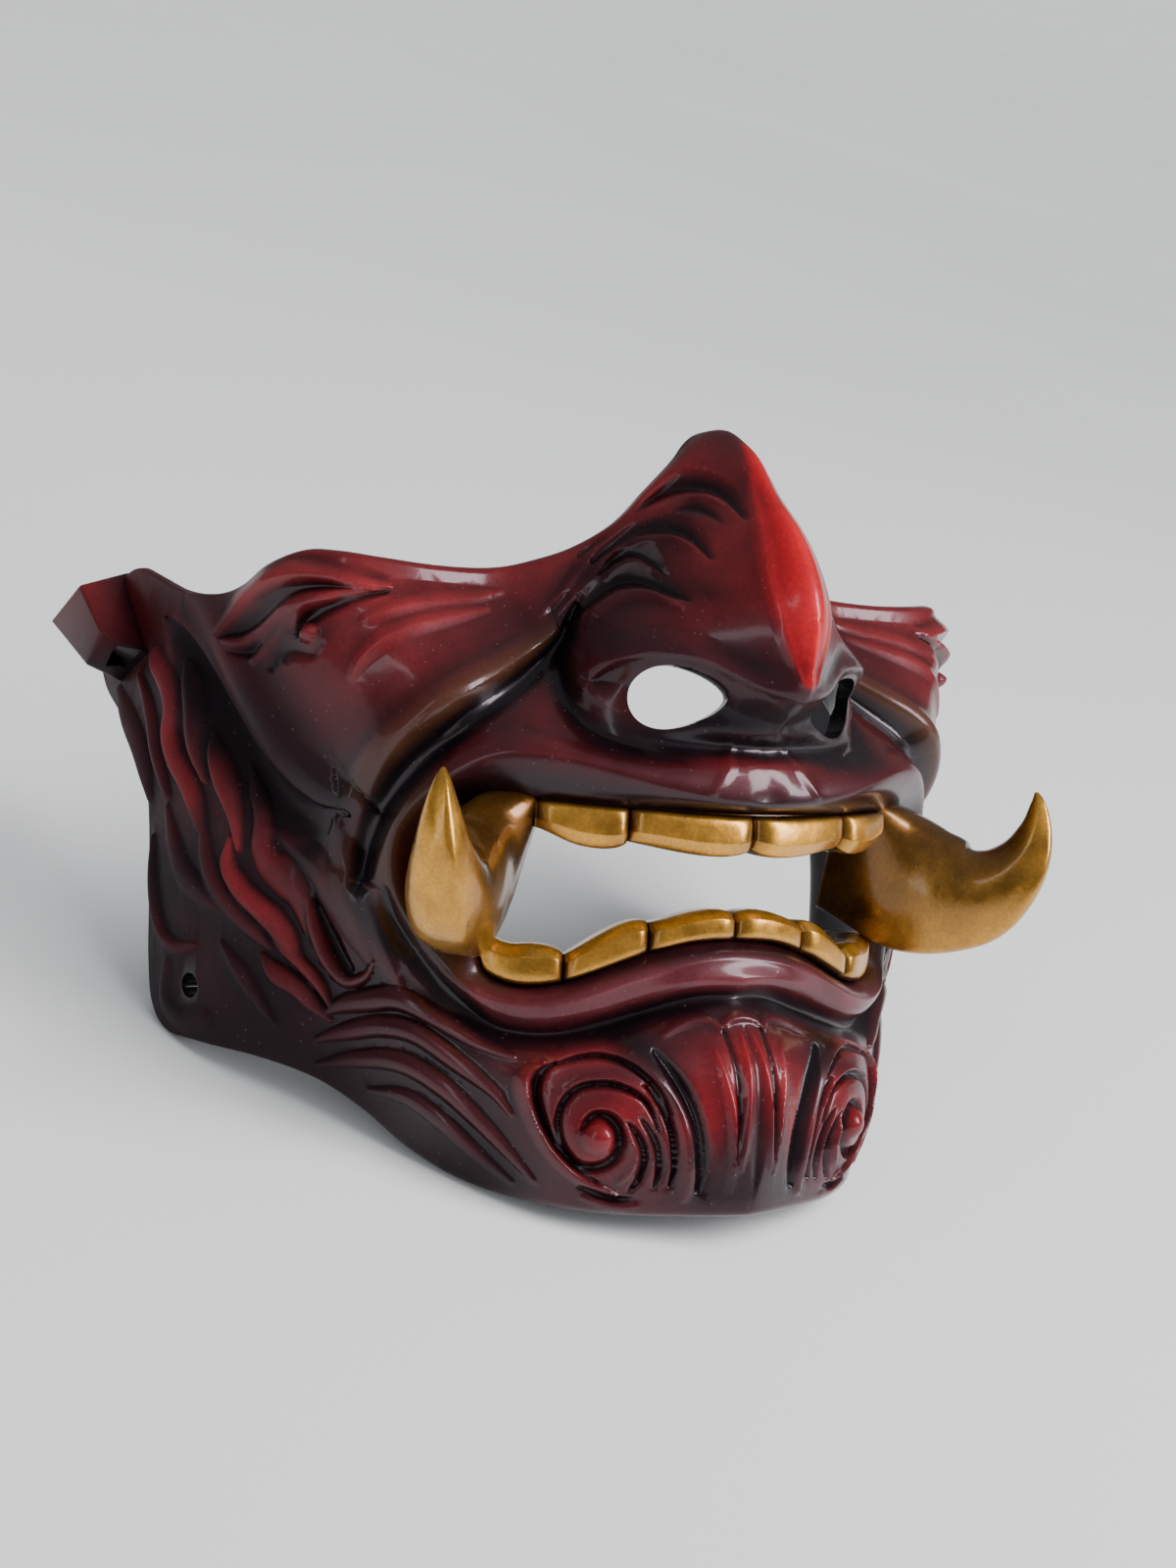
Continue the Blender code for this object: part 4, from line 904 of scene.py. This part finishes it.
# Tusk: out, up, tall, thick, flare towards the teeth, in shares, and how square it is
TUSK = [
    (0, 0.74, 0.78, 0.7, 1.34, 0.82), (0.16, 0.66, 0.89, 0.74, 1.26, 0.76),
    (0.34, 0.58, 1.04, 0.88, 0.45, 0.35), (0.52, 0.53, 0.98, 1, 0.1, 0.1),
    (0.68, 0.54, 0.82, 0.94, 0, 0), (0.8, 0.66, 0.62, 0.8, 0, 0), (0.89, 0.86, 0.44, 0.6, 0, 0),
    (0.935, 1.1, 0.27, 0.4, 0, 0), (0.94, 1.3, 0.13, 0.2, 0, 0), (0.93, 1.4, 0.03, 0.05, 0, 0),
]
TUSK_STEPS = 9
TUSK_SIDES = 56
# Its ridges: turn, height in shares and spread; its painted light and shade: least light, the side
# lit by its turn, and the brighter tip
TUSK_RIDGES = [(-2.05, 0.12, 0.28), (-0.75, 0.06, 0.35), (1.2, 0.05, 0.4)]
TUSK_LEAST_LIGHT, TUSK_SIDE_LIGHT, TUSK_LIT_TURN = 0.06, 0.56, 0.9
TUSK_TIP_AT, TUSK_TIP_FADE = 0.62, 0.2

# Lug corners: back from the side's start in shares of the half width, then up
LUG_OUTER = [(0.265, 78.0), (0.102, 71.3), (0.192, 66.8), (0.471, 73.4)]
LUG_INNER = [(0.322, 80.8), (0.124, 68.4), (0.312, 64.6), (0.45, 75.5)]
LUG_BEVEL = 0.8 * MM
LUG_GLOSS = 0.25
LUG_RED_UP = (64, 14)
LUG_RED_OUT = 0.6 * LUG_OUT

SKIN_CREASE, LUG_CREASE, TOOTH_CREASE = 55, 40, 50

# Camera as it stands to the upright mask: turn and roll in degrees, spot in millimetres
CAMERA_TURN, CAMERA_ROLL = 32.0, 2.25
CAMERA_SPOT = (-266.0, -451.3, 81.1)
CAMERA_LENS, CAMERA_SENSOR = 54.0, 36.0

# Area lights: name, size, power, spot, colour; all aim at one spot
LIGHT_AIM = (0, 0, 0.07)
LIGHTS = [
    ("window", (0.26, 0.6), 9.0, (0.6, -0.55, 0.6), (1.0, 0.96, 1.0)),
    ("strip", (0.1, 0.8), 0.9, (-0.75, -0.45, 0.45), (0.9, 0.95, 1.0)),
]
# Suns: name, strength, spread, then lean and turn in degrees
SUNS = [("day", 3.4, 40.0, (30.0, 16.0)), ("fill", 0.9, 60.0, (52.0, -30.0))]
SKY = (0.93, 0.96, 1.0, 1.0)
SKY_FADE = {"From Min": 0.1, "From Max": 0.9, "To Min": 0.10, "To Max": 0.32}

# Floor: distance from the middle, then rise, in metres
FLOOR = [(6.0, 0.0), (9.0, 0.05), (12.0, 0.2), (16.0, 0.55), (20.0, 1.0), (25.0, 1.7), (30.0, 2.5)]
FLOOR_SIDES = 96

# Gold as lit, and gold in painted shade
GOLD = (0.62, 0.30, 0.038)
GOLD_SHADED = (0.085, 0.030, 0.005)


def rim_at(azimuth, upper):
    """The rim's height and relief at an azimuth, on its upper or its lower side."""
    rim = half_loop(RIM)
    corner = rim[:, 0].argmax()
    side = rim[:corner] if upper else rim[:corner:-1]
    return (np.interp(azimuth, side[:, 0], up_of(side[:, 1])),
            RELIEF * np.interp(azimuth, side[:, 0], side[:, 2]))


def tooth_section(azimuth, bite, furrow, bulge, upper):
    """One section of a tooth row: the crown below its lip and the root behind it."""
    gum, rim_relief = rim_at(abs(azimuth), upper)
    away = -1 if upper else 1
    gum += away * FIT_GAP
    crown = abs(bite - gum)
    section_points = []
    for inward, swell, low in smooth_path(TOOTH_PROFILE, PROFILE_STEPS):
        relief = furrow + swell * bulge * TOOTH_BULGE - inward * TOOTH_DEPTH
        section_points.append((relief, gum + away * low * crown))
    behind = rim_relief - LIP_WALL - FIT_GAP
    section_points.append((behind, gum - away * TOOTH_ROOT))
    section_points.append((behind, gum))
    return [tuple(place(np.array(azimuth), np.array(level / FACE_HEIGHT * 100), relief))
            for relief, level in section_points]


def tooth_row(table, upper):
    """A row of teeth in one bar, and its painted light and shade at each place, from painted shade
    in the furrows to painted light on the crests.
    """
    sections = []
    away = 1 if upper else -1
    curl = UPPER_END_CURL if upper else LOWER_END_CURL
    shares = [k / TOOTH_STATIONS for k in range(TOOTH_STATIONS)]
    for index, (one, two) in enumerate(zip(table, table[1:])):
        last = index == len(table) - 2
        for share in shares + [1.0] * last:
            share = share - TOOTH_CROWDING * math.sin(2 * math.pi * share)
            bulge = (1 - abs(2 * share - 1) ** TOOTH_SQUARE) ** 0.5
            lobe = math.sin(math.pi * share ** TOOTH_LOBE_LEAN)
            azimuth, bite, relief = [a + (b - a) * share for a, b in zip(one, two)]
            bite = up_of(bite) + away * (1 - lobe) * TOOTH_LOBE
            if last:
                bite += curl * float(ease((share - 0.5) / 0.5))
                bulge = max(bulge, TOOTH_END_BULGE * (share > 0.5))
            sections.append((azimuth, bite, RELIEF * relief, bulge))
    mirrored = [(-row[0], *row[1:]) for row in sections[:0:-1]]
    sections = mirrored + sections
    loops = [tooth_section(*row, upper) for row in sections]
    verts, faces = loft(loops)
    profile = smooth_path(TOOTH_PROFILE, PROFILE_STEPS)
    gold_light = np.zeros((len(loops), len(loops[0])))
    inward, swell, crown = profile.T
    for k, (*_, bulge) in enumerate(sections):
        # Painted shade at the gum and in the furrows, painted light on the crown and the biting
        # edge
        crown_lit = bulge ** 2 * np.clip(swell * 1.3, 0, 1) ** 1.5 * ease(crown / GUM_DARK)
        bright = ease((crown - BITE_BRIGHT) / BITE_FADE) * (inward < 0.2) * bulge
        gold_light[k, :len(profile)] = np.maximum(crown_lit * CROWN_LIGHT, bright)
    return verts, faces, gold_light.ravel()


def squared(share, square):
    """A circle's sine or cosine, pushed towards a square's by a share."""
    return math.copysign(abs(share) ** (1 - square), share)


def tusk(side):
    """A tusk that leaves the corner of the mouth and curls up, on one side of the face."""
    azimuth = math.radians(TUSK_AZIMUTH)
    ahead = Vector((math.sin(azimuth), -math.cos(azimuth), 0))
    across = Vector((math.cos(azimuth), math.sin(azimuth), 0))
    rows = smooth_path(TUSK, TUSK_STEPS)
    root = Vector(place(np.array(TUSK_AZIMUTH), np.array(TUSK_UP), -TUSK_ROOT_IN))
    spine = [root + ahead * (row[0] * TUSK_REACH) + Vector((0, 0, row[1] * TUSK_TALL))
             for row in rows]
    loops, gold_light = [], []
    for k, row in enumerate(rows):
        run = spine[min(k + 1, len(spine) - 1)] - spine[max(k - 1, 0)]
        rise = run.cross(across).normalized()
        tall, thick, flare = row[2] * TUSK_TALL / 2, row[3] * TUSK_THICK / 2, row[4]
        loop = []
        for j in range(TUSK_SIDES):
            turn = 2 * math.pi * (j + 0.5) / TUSK_SIDES
            sideways = squared(math.cos(turn), row[5]) * thick
            climb = squared(math.sin(turn), row[5])
            if sideways < 0:
                sideways *= 1 + flare * (0.5 + 0.5 * climb)
                climb *= 1 + flare * TUSK_FLARE_RISE * (climb > 0)
            swell = 1.0
            for at, rise_share, spread in TUSK_RIDGES:
                gap = (turn - at + math.pi) % (2 * math.pi) - math.pi
                swell += rise_share * ease(row[0] / 0.5) * math.exp(-(gap / spread) ** 2)
            spot = spine[k] + across * sideways * swell + rise * (climb * tall * swell)
            loop.append((side * spot.x, spot.y, spot.z))
            # Painted light and shade: one side lit by its turn, the tip brighter and the root in
            # shade
            tusk_lit = TUSK_SIDE_LIGHT + (1 - TUSK_SIDE_LIGHT) * math.cos(turn + TUSK_LIT_TURN)
            tip = ease((k / len(rows) - TUSK_TIP_AT) / TUSK_TIP_FADE)
            tusk_lit = max(tusk_lit, float(tip)) * ease((row[0] - 0.05) / 0.5)
            gold_light.append(TUSK_LEAST_LIGHT + (1 - TUSK_LEAST_LIGHT) * tusk_lit)
        loops.append(loop)
    verts, faces = loft(loops)
    return verts, faces, np.array(gold_light)


def gold_colours(gold_light):
    """Painted shade and light on the gold: shaded brown where the share of light is low, full gold
    where it is lit.
    """
    gold_light = np.clip(gold_light, 0, 1)[:, None]
    return np.array(GOLD_SHADED) + (np.array(GOLD) - np.array(GOLD_SHADED)) * gold_light


def lug(side):
    """An angular block at the ear, which the strap's slot is cut through."""
    return loft([[(side * (HALF_WIDTH + out), back * HALF_WIDTH, up_of(up))
                  for back, up in corners]
                 for out, corners in ((LUG_OUT, LUG_OUTER), (-WALL / 2, LUG_INNER))])


def slot(side):
    """A cutter for the strap's slot, level when the mask rests."""
    near = HALF_WIDTH + LUG_SLOT_WALL
    back, level = LUG_SLOT_AT
    loops = []
    for end in (-0.5, 0.5):
        loop = []
        for out, above in ((0, -0.5), (1, -0.5), (1, 0.5), (0, 0.5)):
            spot = Vector((near + out * LUG_SLOT_WIDE, end * HALF_WIDTH, above * LUG_SLOT_TALL))
            spot = Matrix.Rotation(LEAN, 3, "X") @ spot
            spot += Vector((0, back * HALF_WIDTH, up_of(level)))
            loop.append((side * spot.x, spot.y, spot.z))
        loops.append(loop)
    return loft(loops)


class Nodes:
    """A material's node tree, filled a node at a time."""

    def __init__(self, name):
        self.material = bpy.data.materials.new(name)
        self.material.use_nodes = True
        self.tree = self.material.node_tree
        self.shader = self.tree.nodes["Principled BSDF"]
        self.paint = self.add("ShaderNodeAttribute", attribute_name="paint")

    def add(self, kind, links=(), **values):
        node = self.tree.nodes.new(kind)
        for key, value in values.items():
            if hasattr(node, key):
                setattr(node, key, value)
            else:
                node.inputs[key.replace("_", " ")].default_value = value
        for key, source in dict(links).items():
            self.tree.links.new(source, node.inputs[key])
        return node

    def mix(self, factor, one, two, blend="MIX"):
        node = self.tree.nodes.new("ShaderNodeMix")
        node.data_type = "RGBA"
        node.blend_type = blend
        for socket, value in ((node.inputs[0], factor), (node.inputs[6], one),
                              (node.inputs[7], two)):
            if isinstance(value, bpy.types.NodeSocket):
                self.tree.links.new(value, socket)
            elif isinstance(value, float):
                socket.default_value = value
            else:
                socket.default_value = (*value, 1.0)
        return node.outputs[2]

    def noise(self, scale, detail):
        where = self.add("ShaderNodeTexCoord").outputs["Object"]
        node = self.add("ShaderNodeTexNoise", {"Vector": where}, Scale=scale, Detail=detail)
        return node.outputs["Fac"]

    def bump(self, height, strength, distance, **links):
        node = self.add("ShaderNodeBump", {"Height": height, **links}, Strength=strength,
                        Distance=distance)
        return node.outputs[0]

    def math(self, operation, one, two):
        node = self.add("ShaderNodeMath", {0: one, 1: two}, operation=operation)
        return node.outputs[0]

    def mottled(self, cloud, mist, cloud_range, mist_range):
        """The painted colour, uneven in broad clouds and in a fine mist."""
        lift = self.ramp(cloud, 0.3, 0.7, *cloud_range)
        grain = self.ramp(mist, 0.3, 0.7, *mist_range)
        paint = self.paint.outputs["Color"]
        return self.mix(1.0, paint, self.math("MULTIPLY", lift, grain), "MULTIPLY")

    def ramp(self, source, low, high, out_low=0.0, out_high=1.0):
        node = self.add("ShaderNodeMapRange", {"Value": source}, From_Min=low, From_Max=high,
                        To_Min=out_low, To_Max=out_high)
        return node.outputs["Result"]

    def to_shader(self, **links):
        for key, source in links.items():
            socket = self.shader.inputs[key.replace("_", " ")]
            if isinstance(source, bpy.types.NodeSocket):
                self.tree.links.new(source, socket)
            else:
                socket.default_value = source


def lacquer_finish():
    """Airbrushed red lacquer with pearl dust, whose paint attribute carries painted shade and
    highlights too, under a varnish that turns matte on the sides.
    """
    nodes = Nodes("red_lacquer_paint")
    gloss = nodes.paint.outputs["Alpha"]
    cloud, mist, wave = nodes.noise(95.0, 4.0), nodes.noise(1400.0, 2.0), nodes.noise(260.0, 3.0)
    colour = nodes.mottled(cloud, mist, (0.78, 1.22), (0.88, 1.12))
    where = nodes.add("ShaderNodeTexCoord").outputs["Object"]
    flakes = nodes.add("ShaderNodeTexVoronoi", {"Vector": where}, Scale=1100.0)
    shade = nodes.add("ShaderNodeSeparateColor", {0: flakes.outputs["Color"]}).outputs[0]
    near = nodes.ramp(flakes.outputs["Distance"], 0.12, 0.28, 1.0, 0.0)
    fleck = nodes.math("MULTIPLY", nodes.ramp(shade, 0.93, 0.95), near)
    colour = nodes.mix(nodes.ramp(fleck, 0.0, 1.0, 0.0, 0.3), colour, (0.20, 0.10, 0.13))
    rough = nodes.math("ADD", nodes.ramp(cloud, 0.3, 0.7, 0.28, 0.40),
                       nodes.ramp(gloss, 0.0, 1.0, 0.28, 0.0))
    peel = nodes.bump(mist, 0.12, 0.0001, Normal=nodes.bump(wave, 0.25, 0.0002))
    nodes.to_shader(Base_Color=colour, Roughness=rough, Normal=peel, Metallic=0.05,
                    Coat_Weight=nodes.ramp(gloss, 0.0, 1.0, 0.0, 0.42), Coat_Roughness=0.13,
                    Specular_IOR_Level=0.25, Specular_Tint=(1.0, 0.80, 0.92, 1.0))
    return nodes.material


def gold_finish():
    """Gold paint, mottled, whose colour attribute carries the painted shade and painted light."""
    nodes = Nodes("gold_paint_with_painted_light")
    cloud, mist, wave = nodes.noise(150.0, 5.0), nodes.noise(1500.0, 3.0), nodes.noise(330.0, 3.0)
    nodes.to_shader(Base_Color=nodes.mottled(cloud, mist, (0.72, 1.18), (0.85, 1.15)),
                    Roughness=nodes.ramp(cloud, 0.3, 0.7, 0.22, 0.40),
                    Normal=nodes.bump(wave, 0.35, 0.0003), Metallic=0.85,
                    Coat_Weight=0.5, Coat_Roughness=0.12)
    return nodes.material


def floor_finish():
    """A matte pale floor, faintly clouded."""
    nodes = Nodes("pale_floor")
    cloud = nodes.ramp(nodes.noise(2.0, 2.0), 0.3, 0.7)
    nodes.to_shader(Base_Color=nodes.mix(cloud, (0.72, 0.73, 0.74), (0.76, 0.77, 0.78)),
                    Roughness=0.7)
    return nodes.material


def dress(item, node):
    """Lay a piece back to rest, above the surface, bind it to the root body and hide the imported
    part of its node.
    """
    item.data.transform(TO_REST)
    for vertex in item.data.vertices:
        vertex.co.z = max(vertex.co.z, 0.0)
    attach(item, "root")
    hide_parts(node)


def new_cutter(name, shape):
    return new_object(name, new_mesh(name, *shape))


def make_skin(lacquer):
    """The carved shell, with the nostrils and the cord holes cut through it."""
    skin = new_object("mask_skin", skin_mesh(), lacquer)
    cutters = []
    for side in (1, -1):
        middle = place(np.array(side * NOSTRIL_AT[0]), np.array(NOSTRIL_AT[1]), 0)
        hole = place(np.array(side * STRAP_HOLE_AT[0]), np.array(STRAP_HOLE_AT[1]), 0)
        shapes = (tube(NOSTRIL_WIDE, NOSTRIL_TALL, FACE_DEPTH, middle, side * NOSTRIL_AIM,
                       side * NOSTRIL_TAPER),
                  tube(STRAP_HOLE, STRAP_HOLE, FACE_DEPTH / 2, hole, side * STRAP_HOLE_AT[0]))
        for k, shape in enumerate(shapes):
            cutters.append(new_cutter(f"cutter_{side}_{k}", shape))
    cut_by(skin, cutters, SKIN_TRIANGLES)
    # The walls of the holes come out of the cut unpainted, which reads as white
    for entry in skin.data.attributes["paint"].data:
        if min(entry.color[:3]) > 0.99:
            entry.color = (*COLOURS["black"], 1.0)
    skin.data.shade_smooth()
    skin.data.set_sharp_from_angle(angle=math.radians(SKIN_CREASE))
    dress(skin, "mask_shell")


def make_lug(side, word, lacquer):
    """A strap lug, red at its top and outer face and black towards the shell."""
    item = new_object("strap_lug_" + word, new_mesh("strap_lug", *lug(side)), lacquer)
    bevel = item.modifiers.new("rounded", "BEVEL")
    bevel.width = LUG_BEVEL
    bevel.segments = 3
    bevel.limit_method = "ANGLE"
    cut_by(item, [new_cutter("cutter_slot", slot(side))])
    item.data.shade_smooth()
    item.data.set_sharp_from_angle(angle=math.radians(LUG_CREASE))
    tint = item.data.attributes.new("paint", "FLOAT_COLOR", "POINT")
    low, high = np.array(COLOURS["black"]) * 2, np.array(COLOURS["red"]) * 0.9
    start, fade = LUG_RED_UP
    for v, entry in zip(item.data.vertices, tint.data):
        share = float(ease((v.co.z / FACE_HEIGHT * 100 - start) / fade))
        share *= float(ease((abs(v.co.x) - HALF_WIDTH) / LUG_RED_OUT))
        entry.color = (*(low + (high - low) * share), LUG_GLOSS)
    dress(item, "mask_shell")


def make_floor():
    """A pale floor that rises far off, so that no edge of it shows behind the mask."""
    loops = [[(reach * math.cos(2 * math.pi * j / FLOOR_SIDES),
               reach * math.sin(2 * math.pi * j / FLOOR_SIDES), rise)
              for j in range(FLOOR_SIDES)] for reach, rise in FLOOR]
    verts, faces = loft(loops, capped=False)
    floor = new_object("floor", new_mesh("floor", verts, faces + [tuple(range(FLOOR_SIDES))]),
                       floor_finish())


def make_lights():
    for name, size, power, spot, colour in LIGHTS:
        data = bpy.data.lights.new(name, "AREA")
        data.shape = "RECTANGLE"
        data.size, data.size_y = size
        data.energy = power
        data.color = colour
        item = new_object(name, data)
        item.location = spot
        item.rotation_mode = "QUATERNION"
        item.rotation_quaternion = (Vector(LIGHT_AIM) - Vector(spot)).to_track_quat("-Z", "Y")
    for name, power, spread, turns in SUNS:
        data = bpy.data.lights.new(name, "SUN")
        data.energy = power
        data.angle = math.radians(spread)
        item = new_object(name, data)
        item.rotation_euler = (*map(math.radians, turns), 0)
        item.visible_glossy = False


def make_camera():
    """The camera as it stands to the upright mask, laid back with the mask."""
    yaw, roll = math.radians(CAMERA_TURN), math.radians(CAMERA_ROLL)
    forward = Vector((math.sin(yaw), math.cos(yaw), 0))
    right = Vector((math.cos(yaw), -math.sin(yaw), 0))
    upward = Vector((0, 0, 1))
    across = right * math.cos(roll) + upward * math.sin(roll)
    above = upward * math.cos(roll) - right * math.sin(roll)
    turn = Matrix((across, above, -forward)).transposed().to_4x4()
    data = bpy.data.cameras.new("camera")
    data.lens = CAMERA_LENS
    data.sensor_width = CAMERA_SENSOR
    data.sensor_fit = "AUTO"
    data.clip_start = 0.01
    item = new_object("camera", data)
    item.matrix_world = TO_REST @ Matrix.Translation(Vector(CAMERA_SPOT) * MM) @ turn
    bpy.context.scene.camera = item


def make_sky():
    """A cool sky, brighter overhead than at the horizon."""
    world = bpy.context.scene.world or bpy.data.worlds.new("studio")
    bpy.context.scene.world = world
    world.use_nodes = True
    tree = world.node_tree
    sky = tree.nodes["Background"]
    where = tree.nodes.new("ShaderNodeTexCoord")
    split = tree.nodes.new("ShaderNodeSeparateXYZ")
    fade = tree.nodes.new("ShaderNodeMapRange")
    for key, value in SKY_FADE.items():
        fade.inputs[key].default_value = value
    tree.links.new(where.outputs["Generated"], split.inputs[0])
    tree.links.new(split.outputs["Z"], fade.inputs["Value"])
    tree.links.new(fade.outputs["Result"], sky.inputs["Strength"])
    sky.inputs["Color"].default_value = SKY


def main():
    lacquer = lacquer_finish()
    gold = gold_finish()
    make_skin(lacquer)
    for side, word in ((1, "left"), (-1, "right")):
        make_lug(side, word, lacquer)
        verts, faces, gold_light = tusk(side)
        item = new_object("curled_tusk_" + word,
                          new_mesh("curled_tusk", verts, faces, gold_colours(gold_light)), gold)
        dress(item, "tusk_" + word)
    for name, node, table, upper in (("upper_tooth_row", "upper_teeth", UPPER_TEETH, True),
                                     ("lower_tooth_row", "lower_teeth", LOWER_TEETH, False)):
        verts, faces, gold_light = tooth_row(table, upper)
        item = new_object(name, new_mesh(name, verts, faces, gold_colours(gold_light)), gold)
        item.data.set_sharp_from_angle(angle=math.radians(TOOTH_CREASE))
        dress(item, node)
    make_floor()
    make_camera()
    make_sky()
    make_lights()


main()
